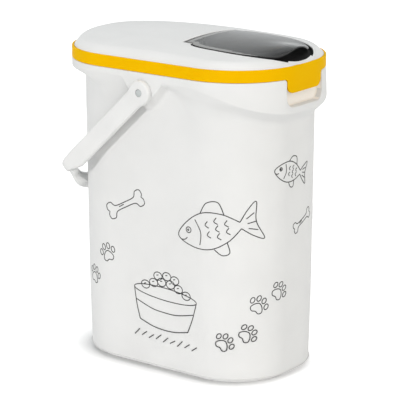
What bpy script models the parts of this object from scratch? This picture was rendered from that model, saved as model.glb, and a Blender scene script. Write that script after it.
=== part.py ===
"""Pet food bin: a tub, a press-fit lid with a pour flap, and a swinging bail handle.

Metres, +Z up. The pouring end of the lid points along +X and the long sides face +Y and -Y.
The foot stands on Z = 0 and the lid is centred on the Z axis.
"""

import math

import bmesh
import bpy

# Overall sizes
LID_LENGTH = 0.2735
LID_WIDTH = 0.1802
LID_CORNER_SHARE = 0.42064
RIM_HEIGHT = 0.32225

# Clearances
GAP = 0.0003
FLAP_GAP = 0.0008
TAB_GAP = 0.001

# Tub
WALL = 0.0022
DRAFT = 0.0077
COLLAR_STEP = 0.0106
TUB_CORNER_STEP = 0.006
TUB_SHIFT = 0.002
FOOT_HEIGHT = 0.005
FOOT_INSET = 0.008
FLOOR = 0.0028
BASE_ROUND = 0.003
FLOOR_ROUND = 0.0075

# Collar under the lid
COLLAR_EDGE = 0.00925
COLLAR_SLOPE = 0.007
COLLAR_ROUND = 0.0012
SWOOP_START = 0.2
SWOOP_POWER = 1.8
SWOOP_EDGE = 0.0265
SWOOP_WALL = 0.0045
MOUTH_INSET = 0.0026
MOUTH_DEPTH = 0.0065
MOUTH_FLAT = 0.4
MOUTH_BLEND = 0.3

# Bail pivot and its lugs
PIVOT_X = -0.004
PIVOT_DROP = 0.02025
LUG_RADIUS = 0.015
LUG_FLANK = 0.012
LUG_SLOPE = 1.2

# Finger tab of the ring and the pocket behind it
TAB_WIDTH = 0.060
TAB_DROP = 0.014
TAB_THICK = 0.0024
TAB_ROUND = 0.004
TAB_SIDE = 0.0002
POCKET_BELOW = 0.0175
POCKET_DEPTH = 0.010
POCKET_ROUND = 0.007

# Ring
BAND = 0.01245
BAND_ROUND = 0.0006
REBATE = 0.0022
LEDGE_DROP = 0.0035
PLUG_GAP = 0.0004
PLUG_THICK = 0.0036
PLUG_DEPTH = 0.0065
GROOVE_DEPTH = 0.0016
GROOVE_LOW = 0.0013
GROOVE_HEIGHT = 0.0034

# Domed cover
CROWN = 0.017
CROWN_SIDE_DROP = 0.0075
CROWN_FRONT_LEAN = 0.002
CROWN_FRONT_DROP = 0.0095
CROWN_FRONT_POWER = 5
CROWN_REAR_DROP = 0.006
CROWN_REAR_POWER = 2.5
SHOULDER = 0.013
COVER_THICK = 0.0024
SEAT_THICK = 0.0066
SEAT_BLOCK = 1.15
SEAT_FADE = 0.5

# Pour flap, its recess and the pour opening; a name ending in BACK is measured back
# along X from the lid's front end
RECESS_FRONT_BACK = 0.00375
FLAP_FRONT_BACK = 0.00775
LIP_FULL_BACK = 0.01875
WELL_REAR_BACK = 0.02325
OPENING_FRONT_BACK = 0.02875
LIP_START_BACK = 0.04875
FLAP_MID_BACK = 0.07175
OPENING_REAR_BACK = 0.10675
FLAP_EAR_BACK = 0.10775
HINGE_POCKET_BACK = 0.11225
HINGE_BACK = 0.11725
FLAP_REAR_BACK = 0.11875
RECESS_REAR_BACK = 0.12725
FLAP_HALF = 0.0525
FLAP_POWER = 2.6
FLAP_THICK = 0.0022
FLAP_EAR = 0.043
RECESS_DEPTH = 0.0044
LIP_HALF = 0.036
LIP_RISE = 0.0155
OPENING_HALF = 0.043
OPENING_POWER = 3.0
SEAL_START = 0.001
SEAL_WIDTH = 0.003
SEAL_GAP = 0.0005
WELL_HALF = 0.036
WELL_THICK = 0.001
WELL_GAP = 0.0006

# Flap hinge
HINGE_DROP = 0.0021
HINGE_EDGE = 0.0034
HINGE_TAPER = 0.006
HINGE_FLOOR = 0.0026
STUB_RADIUS = 0.0011
STUB_LENGTH = 0.004
STUB_ROOT = 0.001

# Bail
BAIL_REST_DEG = 43.4
ARM_THICK = 0.005
ARM_WIDTH = 0.0208
ARM_CENTRE = 0.0
NECK_WIDTH = 0.0115
NECK_CENTRE = -0.0032
NECK_TAPER = 0.026
GRIP_DEPTH = 0.011
GRIP_WIDTH = 0.0175
GRIP_CENTRE = 0.0028
GRIP_ROUND = 0.0082
GRIP_NARROW = 0.0101
GRIP_START_DEG = 38.0
GRIP_FULL_DEG = 47.0
SHOULDER_DROP = 0.0495
SHOULDER_LEAN_DEG = 13.0
SHOULDER_ROUND = 0.014
NECK_ROUND = 0.008
BAIL_WEB = 0.0022
BAIL_ROUND = 0.0026
CHANNEL_ROUND = 0.0006
HUB_RADIUS = 0.013
HUB_PROUD = 0.0001
ARM_START = 0.003

# Pivot pins
PIN_RADIUS = 0.0025
PIN_HEAD_RADIUS = 0.0037
PIN_HEAD = 0.0012
PIN_SUNK = 0.0004
PIN_DEEP = 0.008

# Mesh fineness
ARC_STEPS = 16
LONG_STEPS = 44
END_STEPS = 8
ROUND_STEPS = 32
LOOP_STEPS = 72
FRONT_CROWD = 1.5
SHARP_DEG = 32.0
COARSE_ROUND = (0.0, 30.0, 60.0, 90.0)
FINE_ROUND = (0.0, 22.5, 45.0, 67.5, 90.0)
COVER_EDGE = (0.0, 0.06, 0.19, 0.41, 0.7, 1.0)
COVER_RINGS = (0.86, 0.72, 0.58, 0.44, 0.3, 0.16)
RECESS_COLUMNS = 30
FLAP_COLUMNS = 26
WELL_COLUMNS = 8
WELL_LINES = 16
FLAP_LINES = 19
SIDE_TRIM = 0.9995
TAPER_STEPS = 4
KNEE_STEPS = 8
NECK_STEPS = 6
GRIP_STEPS = 16
REACH_PASSES = 12

HALF_L = LID_LENGTH / 2
HALF_W = LID_WIDTH / 2
LID_CORNER = LID_CORNER_SHARE * LID_WIDTH
FLAP_MID = HALF_L - FLAP_MID_BACK
FLAP_FRONT = FLAP_MID_BACK - FLAP_FRONT_BACK
FLAP_REAR = HALF_L - FLAP_REAR_BACK
FLAP_EAR_REAR = HALF_L - FLAP_EAR_BACK
RECESS_FRONT = FLAP_MID_BACK - RECESS_FRONT_BACK
RECESS_REAR = HALF_L - RECESS_REAR_BACK
LIP_START = HALF_L - LIP_START_BACK
LIP_FULL = HALF_L - LIP_FULL_BACK
OPENING_REAR = HALF_L - OPENING_REAR_BACK
OPENING_FRONT = HALF_L - OPENING_FRONT_BACK
WELL_REAR = HALF_L - WELL_REAR_BACK
HINGE_X = HALF_L - HINGE_BACK
HINGE_POCKET_END = HALF_L - HINGE_POCKET_BACK
TUB_TOP = RIM_HEIGHT - COLLAR_EDGE - COLLAR_SLOPE
BAND_LOW = RIM_HEIGHT + GAP
BAND_TOP = BAND_LOW + BAND
LEDGE = BAND_TOP - LEDGE_DROP
COVER_LOW = LEDGE + GAP
PIVOT_Z = RIM_HEIGHT - PIVOT_DROP
TAB_LOW = BAND_LOW - TAB_DROP
HUB_IN = HALF_W + GAP
ARM_OUT = HUB_IN + HUB_PROUD + ARM_THICK
HUB_OUT = ARM_OUT + HUB_PROUD


def smooth(t):
    t = min(1.0, max(0.0, t))
    return t * t * (3.0 - 2.0 * t)


def clear_scene():
    for ob in list(bpy.data.objects):
        bpy.data.objects.remove(ob, do_unlink=True)


def material(name, colour, rough, alpha=1.0):
    mat = bpy.data.materials.new(name)
    mat.use_nodes = True
    node = mat.node_tree.nodes["Principled BSDF"]
    node.inputs["Base Color"].default_value = (*colour, 1.0)
    node.inputs["Roughness"].default_value = rough
    node.inputs["Alpha"].default_value = alpha
    return mat


def mesh_object(name, verts, faces, mat=None, origin=(0.0, 0.0, 0.0)):
    mesh = bpy.data.meshes.new(name)
    moved = [tuple(v[i] - origin[i] for i in range(3)) for v in verts]
    mesh.from_pydata(moved, [], faces)
    bm = bmesh.new()
    bm.from_mesh(mesh)
    bmesh.ops.recalc_face_normals(bm, faces=bm.faces)
    bm.to_mesh(mesh)
    bm.free()
    ob = bpy.data.objects.new(name, mesh)
    ob.location = origin
    bpy.context.collection.objects.link(ob)
    if mat is not None:
        mesh.materials.append(mat)
        mesh.shade_smooth()
        mesh.set_sharp_from_angle(angle=math.radians(SHARP_DEG))
    else:
        ob.hide_render = True
        ob.display_type = 'WIRE'
    return ob


def boolean(target, tool, operation):
    mod = target.modifiers.new(tool.name, 'BOOLEAN')
    mod.operation = operation
    mod.object = tool
    mod.solver = 'EXACT'


def loft(name, rings, mat=None, closed=False):
    """Skin a list of equal rings; open lofts are capped with a fan at each end."""
    count = len(rings[0])
    verts = [p for ring in rings for p in ring]
    faces = []
    spans = len(rings) if closed else len(rings) - 1
    for k in range(spans):
        a = k * count
        b = ((k + 1) % len(rings)) * count
        for i in range(count):
            j = (i + 1) % count
            faces.append((a + i, a + j, b + j, b + i))
    if not closed:
        for ring, start in ((rings[0], 0), (rings[-1], (len(rings) - 1) * count)):
            centre = tuple(sum(p[i] for p in ring) / count for i in range(3))
            verts.append(centre)
            hub = len(verts) - 1
            for i in range(count):
                faces.append((hub, start + i, start + (i + 1) % count))
    return mesh_object(name, verts, faces, mat)


def plate(name, lines, rear, front, top, bottom, columns, mat=None, origin=(0.0, 0.0, 0.0)):
    """A closed slab between two surfaces, from rear(y) to front(y) at each line y."""
    verts = []
    for y in lines:
        x0 = rear(y)
        x1 = front(y)
        for level in (top, bottom):
            for i in range(columns + 1):
                x = x0 + (x1 - x0) * (1.0 - (1.0 - i / columns) ** FRONT_CROWD)
                verts.append((x, y, level(x, y)))
    step = 2 * (columns + 1)
    low = columns + 1
    faces = []
    for j in range(len(lines) - 1):
        a = j * step
        b = a + step
        for i in range(columns):
            faces.append((a + i, a + i + 1, b + i + 1, b + i))
            faces.append((a + low + i, b + low + i, b + low + i + 1, a + low + i + 1))
        faces.append((a, b, b + low, a + low))
        faces.append((a + columns, a + low + columns, b + low + columns, b + columns))
    last = (len(lines) - 1) * step
    for a in (0, last):
        for i in range(columns):
            faces.append((a + i, a + i + 1, a + low + i + 1, a + low + i))
    return mesh_object(name, verts, faces, mat, origin)


def samples(tab=False):
    """Places round a rounded rectangle: a core position and a normal angle each."""
    end = HALF_W - LID_CORNER
    half_tab = TAB_WIDTH / 2
    marks = []
    if tab:
        for deg in FINE_ROUND:
            marks.append(half_tab - TAB_ROUND * (1.0 - math.sin(math.radians(deg))))
        marks.append(half_tab + TAB_SIDE)
    angles = [math.radians(90.0 * i / ARC_STEPS) for i in range(ARC_STEPS + 1)]
    fracs = [-1.0 + 2.0 * i / END_STEPS for i in range(1, END_STEPS)]
    if marks:
        low = marks[0] - TAB_ROUND / 2
        high = marks[-1] + TAB_ROUND / 2
        keep_a = [a for a in angles if not low < end + LID_CORNER * math.sin(a) < high]
        keep_f = [f for f in fracs if not low < abs(f) * end < high]
        for y in marks:
            if y > end:
                keep_a.append(math.asin((y - end) / LID_CORNER))
            else:
                keep_f += [y / end, -y / end]
        front_angles = sorted(keep_a)
        front_fracs = sorted(keep_f)
    else:
        front_angles = angles
        front_fracs = fracs
    out = [(1.0, f, 0.0) for f in front_fracs]
    out += [(1.0, 1.0, a) for a in front_angles]
    along = [1.0 - 2.0 * i / LONG_STEPS for i in range(1, LONG_STEPS)]
    out += [(f, 1.0, math.pi / 2) for f in along]
    out += [(-1.0, 1.0, math.pi / 2 + a) for a in angles]
    out += [(-1.0, -f, math.pi) for f in fracs]
    out += [(-1.0, -1.0, math.pi + a) for a in angles]
    out += [(-f, -1.0, 1.5 * math.pi) for f in along]
    out += [(1.0, -1.0, 2.0 * math.pi - a) for a in reversed(front_angles)]
    return out


def at(place, half_l, half_w, corner, inset, shift=0.0):
    fx, fy, angle = place
    radius = corner - inset
    x = fx * (half_l - corner) + radius * math.cos(angle) + shift
    y = fy * (half_w - corner) + radius * math.sin(angle)
    return x, y


def lid_at(place, inset):
    return at(place, HALF_L, HALF_W, LID_CORNER, inset)


def tub_at(place, inset, z):
    lean = DRAFT * (TUB_TOP - z)
    return at(place, HALF_L - COLLAR_STEP - lean, HALF_W - COLLAR_STEP - lean,
              LID_CORNER - TUB_CORNER_STEP - lean, inset, TUB_SHIFT)


def collar_edge(x):
    start = SWOOP_START * HALF_L
    ramp = max(0.0, (x - start) / (HALF_L - start)) ** SWOOP_POWER
    edge = RIM_HEIGHT - COLLAR_EDGE - SWOOP_EDGE * ramp
    wall = edge - COLLAR_SLOPE - SWOOP_WALL * ramp
    dx = abs(x - PIVOT_X)
    if dx < LUG_FLANK:
        lug = PIVOT_Z - math.sqrt(LUG_RADIUS ** 2 - dx ** 2)
    else:
        lug = PIVOT_Z - math.sqrt(LUG_RADIUS ** 2 - LUG_FLANK ** 2)
        lug += LUG_SLOPE * (dx - LUG_FLANK)
    return min(edge, lug), min(wall, lug - COLLAR_SLOPE)


def mouth_inset(x, y):
    """Inset of the mouth wall from the collar; the front end leaves room for the pocket."""
    front = COLLAR_STEP - TUB_SHIFT + WALL + GAP
    if x < 0.0:
        return MOUTH_INSET
    side = (abs(y) / HALF_W - MOUTH_FLAT) / MOUTH_BLEND
    return front + (MOUTH_INSET - front) * smooth(side)


def prism_y(name, x, z, radius, y0, y1):
    return lathe_y(name, x, z, [(radius, y0), (radius, y1)])


def lathe_y(name, x, z, profile, mat=None):
    """A round piece about a line along Y, from pairs of radius and y."""
    rings = []
    for radius, y in profile:
        ring = []
        for i in range(ROUND_STEPS):
            a = 2.0 * math.pi * i / ROUND_STEPS
            ring.append((x + radius * math.cos(a), y, z + radius * math.sin(a)))
        rings.append(ring)
    return loft(name, rings, mat)


def make_body(mat):
    places = samples()
    lid_xy = [lid_at(p, 0.0) for p in places]
    lines = [collar_edge(x) for x, _ in lid_xy]

    def tub_ring(inset, z):
        return [(*tub_at(p, inset, z), z) for p in places]

    def collar_ring(inset, z):
        return [(*lid_at(p, inset), z) for p in places]

    rings = [tub_ring(FOOT_INSET, 0.0), tub_ring(FOOT_INSET, FOOT_HEIGHT)]
    for deg in COARSE_ROUND:
        a = math.radians(deg)
        rings.append(tub_ring(BASE_ROUND * (1.0 - math.sin(a)),
                              FOOT_HEIGHT + BASE_ROUND * (1.0 - math.cos(a))))
    rings.append([(*tub_at(p, 0.0, w), w) for p, (_, w) in zip(places, lines)])
    rings.append([(*lid_at(p, COLLAR_ROUND), e) for p, (e, _) in zip(places, lines)])
    rings.append([(*lid_at(p, 0.0), e + COLLAR_ROUND) for p, (e, _) in zip(places, lines)])
    rings.append(collar_ring(0.0, RIM_HEIGHT - BAND_ROUND))
    rings.append(collar_ring(BAND_ROUND, RIM_HEIGHT))
    for z in (RIM_HEIGHT, RIM_HEIGHT - MOUTH_DEPTH):
        rings.append([(*lid_at(p, mouth_inset(*xy)), z) for p, xy in zip(places, lid_xy)])
    inside = RIM_HEIGHT - MOUTH_DEPTH - COLLAR_SLOPE
    rings.append(tub_ring(WALL, inside))
    floor = FOOT_HEIGHT + FLOOR
    for deg in COARSE_ROUND:
        a = math.radians(deg)
        rings.append(tub_ring(WALL + FLOOR_ROUND * (1.0 - math.cos(a)),
                              floor + FLOOR_ROUND * (1.0 - math.sin(a))))
    rings.append(tub_ring(FOOT_INSET + WALL, FLOOR))
    body = loft("bin_body", rings, mat)

    half = TAB_WIDTH / 2 + TAB_GAP
    low = TAB_LOW - POCKET_BELOW
    back = HALF_L - POCKET_DEPTH
    shape = [(half, RIM_HEIGHT + BAND)]
    for sign in (1.0, -1.0):
        for deg in FINE_ROUND:
            a = math.radians(deg if sign > 0 else 90.0 - deg)
            shape.append((sign * (half - POCKET_ROUND * (1.0 - math.cos(a))),
                          low + POCKET_ROUND * (1.0 - math.sin(a))))
    shape.append((-half, RIM_HEIGHT + BAND))
    pocket = loft("pocket_cut", [[(x, y, z) for y, z in shape]
                                 for x in (back, HALF_L + POCKET_DEPTH)])
    boolean(body, pocket, 'DIFFERENCE')
    for side, tag in ((1.0, "left"), (-1.0, "right")):
        deep = HUB_IN - PIN_DEEP - GAP
        bore = prism_y("lug_bore_" + tag, PIVOT_X, PIVOT_Z, PIN_RADIUS + GAP,
                       side * deep, side * (HUB_OUT + ARM_THICK))
        boolean(body, bore, 'DIFFERENCE')
    return body


def plug_out(x, y):
    return mouth_inset(x, y) + PLUG_GAP


def make_ring(mat):
    places = samples(tab=True)
    lid_xy = [lid_at(p, 0.0) for p in places]
    half = TAB_WIDTH / 2

    def low_edge(x, y):
        if x < 0.0 or abs(y) > half + TAB_SIDE / 2:
            return BAND_LOW
        over = abs(y) - (half - TAB_ROUND)
        if over <= 0.0:
            return TAB_LOW
        return TAB_LOW + TAB_ROUND - math.sqrt(max(0.0, TAB_ROUND ** 2 - over ** 2))

    def ring(inset, z):
        return [(*lid_at(p, inset), z) for p in places]

    def plug_ring(extra, z):
        return [(*lid_at(p, plug_out(*xy) + extra), z) for p, xy in zip(places, lid_xy)]

    plug_low = RIM_HEIGHT - PLUG_DEPTH
    groove = plug_low + GROOVE_LOW
    groove_top = groove + GROOVE_HEIGHT
    shelf = BAND_LOW + GAP
    edge = [low_edge(*xy) for xy in lid_xy]
    rings = [[(*lid_at(p, 0.0), e) for p, e in zip(places, edge)],
             ring(0.0, BAND_TOP - BAND_ROUND),
             ring(BAND_ROUND, BAND_TOP),
             ring(REBATE, BAND_TOP),
             ring(REBATE, LEDGE),
             plug_ring(PLUG_THICK, LEDGE),
             plug_ring(PLUG_THICK, plug_low),
             plug_ring(0.0, plug_low),
             plug_ring(0.0, groove),
             plug_ring(GROOVE_DEPTH, groove),
             plug_ring(GROOVE_DEPTH, groove_top),
             plug_ring(0.0, groove_top),
             plug_ring(0.0, shelf),
             ring(TAB_THICK, shelf),
             [(*lid_at(p, TAB_THICK), e) for p, e in zip(places, edge)]]
    return loft("lid_ring", rings, mat, closed=True)


def make_lid_seal(mat):
    places = samples()
    lid_xy = [lid_at(p, 0.0) for p in places]
    low = RIM_HEIGHT - PLUG_DEPTH + GROOVE_LOW + GAP
    high = low + GROOVE_HEIGHT - 2.0 * GAP
    rings = []
    for outer, z in ((True, low), (True, high), (False, high), (False, low)):
        ring = []
        for p, xy in zip(places, lid_xy):
            inset = mouth_inset(*xy) + GAP if outer else plug_out(*xy) + GROOVE_DEPTH - GAP
            ring.append((*lid_at(p, inset), z))
        rings.append(ring)
    return loft("lid_seal", rings, mat, closed=True)


def depth_inside(x, y, half_l, half_w, corner):
    """Distance inside a rounded rectangle."""
    qx = abs(x) - (half_l - corner)
    qy = abs(y) - (half_w - corner)
    away = math.hypot(max(qx, 0.0), max(qy, 0.0)) + min(max(qx, qy), 0.0)
    return corner - away


def rim_inset(x, y):
    return depth_inside(x, y, HALF_L, HALF_W, LID_CORNER)


def crown(x, y):
    side = CROWN_SIDE_DROP * (y / (HALF_W - SHOULDER)) ** 2
    t = abs(x) / (HALF_L - SHOULDER / 2)
    if x > 0.0:
        along = CROWN_FRONT_LEAN * t + CROWN_FRONT_DROP * t ** CROWN_FRONT_POWER
    else:
        along = CROWN_REAR_DROP * t ** CROWN_REAR_POWER
    return BAND_TOP + CROWN - side - along


def surface(x, y):
    """Top of the domed cover."""
    start = REBATE + GAP
    u = (rim_inset(x, y) - start) / (SHOULDER - start)
    u = min(1.0, max(0.0, u))
    return BAND_TOP + (crown(x, y) - BAND_TOP) * (1.0 - (1.0 - u) ** 2)


def seat(x, y):
    return max(surface(x, y) - RECESS_DEPTH, COVER_LOW + COVER_THICK)


def underside(x, y):
    span = (OPENING_FRONT - RECESS_REAR) / 2
    mid = (OPENING_FRONT + RECESS_REAR) / 2
    reach = (abs(x - mid) / (span * SEAT_BLOCK)) ** FLAP_POWER
    reach += (abs(y) / (FLAP_HALF * SEAT_BLOCK)) ** FLAP_POWER
    block = smooth((1.0 + SEAT_FADE - reach) / SEAT_FADE)
    z = surface(x, y) - COVER_THICK - SEAT_THICK * block
    return max(z, COVER_LOW)


def front_half(y, front, grow):
    """Front edge of the flap's plan at y, for a given reach from its middle."""
    t = min(1.0, abs(y) / (FLAP_HALF + grow))
    return FLAP_MID + front * (1.0 - t ** FLAP_POWER) ** (1.0 / FLAP_POWER)


def rear_half(y, rear, grow):
    ear = FLAP_EAR + grow
    if abs(y) <= ear:
        return rear
    t = min(1.0, (abs(y) - ear) / (FLAP_HALF - FLAP_EAR))
    back = FLAP_MID - FLAP_EAR_REAR + grow
    return FLAP_MID - back * (1.0 - t ** FLAP_POWER) ** (1.0 / FLAP_POWER)


def stations(half, ear):
    """Values of y across the flap, close together towards the sides and at the ears."""
    values = {0.0}
    for i in range(1, FLAP_LINES):
        values.add(half * math.sin(math.radians(90.0 * i / FLAP_LINES)))
    values.add(half * SIDE_TRIM)
    step = TAB_SIDE
    values = {v for v in values if abs(v - ear) > 2.0 * step}
    values.update((ear, ear + step))
    ordered = sorted(values)
    return [-v for v in reversed(ordered) if v > 0.0] + ordered


def flap_top(x, y):
    lift = max(0.0, BAND_TOP + LIP_RISE - surface(x, 0.0))
    lift *= smooth((x - LIP_START) / (LIP_FULL - LIP_START))
    across = math.cos(math.pi / 2 * min(1.0, abs(y) / LIP_HALF)) ** 2
    return surface(x, y) + lift * across


def flap_low(x, y):
    share = max(0.0, 1.0 - (x - FLAP_REAR) / HINGE_TAPER)
    if abs(y) > FLAP_EAR:
        share = 0.0
    return flap_top(x, y) - FLAP_THICK - (HINGE_EDGE - FLAP_THICK) * share


def hinge_z():
    return surface(HINGE_X, FLAP_EAR) - HINGE_DROP


def oval(grow, z):
    half_x = (OPENING_FRONT - OPENING_REAR) / 2 + grow
    half_y = OPENING_HALF + grow
    mid = (OPENING_FRONT + OPENING_REAR) / 2
    ring = []
    for i in range(LOOP_STEPS):
        a = 2.0 * math.pi * i / LOOP_STEPS
        c = math.cos(a)
        s = math.sin(a)
        x = mid + math.copysign(half_x * abs(c) ** (2.0 / OPENING_POWER), c)
        y = math.copysign(half_y * abs(s) ** (2.0 / OPENING_POWER), s)
        ring.append((x, y, z(x, y)))
    return ring


def make_cover(mat):
    places = samples()[::2]
    start = REBATE + GAP
    insets = [start + (SHOULDER - start) * k for k in COVER_EDGE]
    scales = COVER_RINGS
    base = [(*lid_at(p, insets[0]), COVER_LOW) for p in places]
    rings = [base]
    for inset in insets:
        xy = [lid_at(p, inset) for p in places]
        rings.append([(x, y, surface(x, y) + BAND_ROUND) for x, y in xy])
    edge = [lid_at(p, SHOULDER) for p in places]
    for k in scales:
        rings.append([(x * k, y * k, surface(x * k, y * k) + BAND_ROUND) for x, y in edge])
    for k in reversed(scales):
        rings.append([(x * k, y * k, underside(x * k, y * k)) for x, y in edge])
    for inset in reversed(insets[3:]):
        xy = [lid_at(p, inset + COVER_THICK / 2) for p in places]
        rings.append([(x, y, underside(x, y)) for x, y in xy])
    rings.append([(*lid_at(p, insets[0] + COVER_THICK), COVER_LOW) for p in places])
    count = len(places)
    verts = [p for ring in rings for p in ring]
    faces = []
    split = len(insets) + len(scales)
    for k in range(len(rings)):
        if k == split:
            continue
        a = k * count
        b = ((k + 1) % len(rings)) * count
        for i in range(count):
            j = (i + 1) % count
            faces.append((a + i, a + j, b + j, b + i))
    for k, level in ((split, surface), (split + 1, underside)):
        verts.append((0.0, 0.0, level(0.0, 0.0)))
        for i in range(count):
            faces.append((len(verts) - 1, k * count + i, k * count + (i + 1) % count))
    cover = mesh_object("lid_cover", verts, faces, mat)

    above = BAND_TOP + CROWN + SHOULDER
    grow = FLAP_GAP
    lines = stations(FLAP_HALF + grow, FLAP_EAR + grow)
    recess = plate("flap_recess_cut", lines,
                   lambda y: rear_half(y, RECESS_REAR, grow),
                   lambda y: front_half(y, RECESS_FRONT, grow),
                   lambda x, y: above, seat, RECESS_COLUMNS)
    boolean(cover, recess, 'DIFFERENCE')
    floor = hinge_z() - HINGE_FLOOR
    half = FLAP_EAR + grow
    x0 = RECESS_REAR
    x1 = HINGE_POCKET_END
    corners = [(x0, -half), (x1, -half), (x1, half), (x0, half)]
    pocket = loft("hinge_pocket_cut", [[(x, y, z) for x, y in corners] for z in (floor, above)])
    boolean(cover, pocket, 'DIFFERENCE')
    opening = loft("pour_opening_cut", [oval(0.0, lambda x, y: COVER_LOW - SHOULDER),
                                        oval(0.0, lambda x, y: above)])
    boolean(cover, opening, 'DIFFERENCE')
    for side, tag in ((1.0, "left"), (-1.0, "right")):
        socket = prism_y("stub_socket_" + tag, HINGE_X, hinge_z(), STUB_RADIUS + GAP,
                         side * (FLAP_EAR - STUB_ROOT),
                         side * (FLAP_EAR + STUB_LENGTH + GAP))
        boolean(cover, socket, 'DIFFERENCE')
    return cover


def make_flap(mat):
    lines = stations(FLAP_HALF, FLAP_EAR)
    flap = plate("pour_flap", lines,
                 lambda y: rear_half(y, FLAP_REAR, 0.0),
                 lambda y: front_half(y, FLAP_FRONT, 0.0),
                 flap_top, flap_low, FLAP_COLUMNS, mat, (HINGE_X, 0.0, hinge_z()))
    for side, tag in ((1.0, "left"), (-1.0, "right")):
        stub = prism_y("flap_stub_" + tag, HINGE_X, hinge_z(), STUB_RADIUS,
                       side * (FLAP_EAR - STUB_ROOT), side * (FLAP_EAR + STUB_LENGTH))
        boolean(flap, stub, 'UNION')
    return flap


def make_flap_seal(mat):
    def high(x, y):
        return flap_top(x, y) - FLAP_THICK - SEAL_GAP

    def low(x, y):
        return seat(x, y) + SEAL_GAP

    rings = [oval(SEAL_START, low), oval(SEAL_START, high),
             oval(SEAL_START + SEAL_WIDTH, high), oval(SEAL_START + SEAL_WIDTH, low)]
    return loft("flap_seal", rings, mat, closed=True)


def make_well(mat):
    lines = [WELL_HALF * (-1.0 + 2.0 * i / WELL_LINES) for i in range(WELL_LINES + 1)]
    return plate("finger_well", lines,
                 lambda y: WELL_REAR,
                 lambda y: front_half(y, RECESS_FRONT, FLAP_GAP) - FLAP_GAP,
                 lambda x, y: seat(x, y) + WELL_GAP + WELL_THICK,
                 lambda x, y: seat(x, y) + WELL_GAP, WELL_COLUMNS, mat)


def fillet(before, corner, after, radius, steps):
    """Points of a rounded corner, each with its heading."""
    h0 = math.atan2(corner[1] - before[1], corner[0] - before[0])
    h1 = math.atan2(after[1] - corner[1], after[0] - corner[0])
    turn = h1 - h0
    back = radius * math.tan(abs(turn) / 2)
    sx = corner[0] - back * math.cos(h0)
    sy = corner[1] - back * math.sin(h0)
    sign = math.copysign(1.0, turn)
    cx = sx - sign * radius * math.sin(h0)
    cy = sy + sign * radius * math.cos(h0)
    out = []
    for i in range(steps + 1):
        h = h0 + turn * i / steps
        out.append((cx + sign * radius * math.sin(h), cy - sign * radius * math.cos(h), h))
    return out


def wall_gap(x, y, z):
    """Distance outside the tub's wall at height z."""
    lean = COLLAR_STEP + DRAFT * (TUB_TOP - z)
    corner = LID_CORNER - TUB_CORNER_STEP - DRAFT * (TUB_TOP - z)
    return -depth_inside(x - TUB_SHIFT, y, HALF_L - lean, HALF_W - lean, corner)


def bail_place(reach, side, n):
    rest = math.radians(BAIL_REST_DEG)
    x = -reach * math.cos(rest) + n * math.sin(rest)
    z = -reach * math.sin(rest) - n * math.cos(rest)
    return x, side, z


def bail_reach():
    """Distance of the grip's inner edge from the pivot, so the bail rests on the rear wall."""
    reach = HALF_L
    for _ in range(REACH_PASSES):
        least = HALF_L
        for line in bail_rings(bail_line(reach)):
            for x, y, z in line:
                least = min(least, wall_gap(x + PIVOT_X, y, z + PIVOT_Z))
        reach += GAP - least
    return reach


def bail_rings(line):
    rings = []
    for u, y, heading, stage in line:
        ring = []
        for n, d in bail_section(stage):
            ring.append(bail_place(u + d * math.sin(heading), y - d * math.cos(heading), n))
        rings.append(ring)
    return rings


def bail_line(grip):
    """The bail's outer face from one hub to mid-span: reach, side, heading and stage."""
    top = grip + GRIP_DEPTH
    radius = HALF_W - GRIP_NARROW
    mid = top - radius
    first = math.radians(GRIP_START_DEG)
    lean = math.radians(SHOULDER_LEAN_DEG)
    start = (ARM_START, ARM_OUT)
    knee = (top - SHOULDER_DROP, ARM_OUT)
    entry = (mid + radius * math.sin(first), radius * math.cos(first))
    run = (math.cos(first), -math.sin(first))
    lead = (math.sin(lean), -math.cos(lean))
    det = lead[0] * run[1] - lead[1] * run[0]
    dx = entry[0] - knee[0]
    dy = entry[1] - knee[1]
    k = (dx * run[1] - dy * run[0]) / det
    neck = (knee[0] + k * lead[0], knee[1] + k * lead[1])
    line = [(start[0], start[1], 0.0, 0.0)]
    rounded = fillet(start, knee, neck, SHOULDER_ROUND, KNEE_STEPS)
    taper = knee[0] - NECK_TAPER
    for i in range(TAPER_STEPS):
        u = taper + (rounded[0][0] - taper) * i / TAPER_STEPS
        line.append((u, ARM_OUT, 0.0, smooth((u - taper) / NECK_TAPER)))
    for x, y, h in rounded:
        line.append((x, y, h, smooth((x - taper) / NECK_TAPER)))
    for x, y, h in fillet(knee, neck, entry, NECK_ROUND, NECK_STEPS):
        line.append((x, y, h, 1.0))
    full = math.radians(GRIP_FULL_DEG)
    for i in range(GRIP_STEPS + 1):
        a = first + (math.pi / 2 - first) * i / GRIP_STEPS
        line.append((mid + radius * math.sin(a), radius * math.cos(a), -a,
                     1.0 + smooth((a - first) / (full - first))))
    return line


def bail_section(stage):
    """Channel section of the bail: stage 0 is the arm, 1 the neck and 2 the grip."""
    kinds = ((ARM_WIDTH, ARM_THICK, ARM_CENTRE, BAIL_ROUND),
             (NECK_WIDTH, ARM_THICK, NECK_CENTRE, BAIL_ROUND),
             (GRIP_WIDTH, GRIP_DEPTH, GRIP_CENTRE, GRIP_ROUND))
    low = 0 if stage <= 1.0 else 1
    width, deep, mid, corner = (p + (q - p) * (stage - low)
                                for p, q in zip(kinds[low], kinds[low + 1]))
    bend = [(math.cos(math.radians(deg)), math.sin(math.radians(deg))) for deg in COARSE_ROUND]
    walls = []
    for inset in (0.0, BAIL_WEB):
        radius = max(corner - inset, BAIL_WEB - inset + CHANNEL_ROUND)
        side = width / 2 - inset
        left = [(-side, deep)]
        left += [(-side + radius * (1.0 - c), inset + radius * (1.0 - s)) for c, s in bend]
        walls.append(left + [(-n, d) for n, d in reversed(left)])
    outer, channel = walls
    return [(mid + n, d) for n, d in outer + channel[::-1]]


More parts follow.
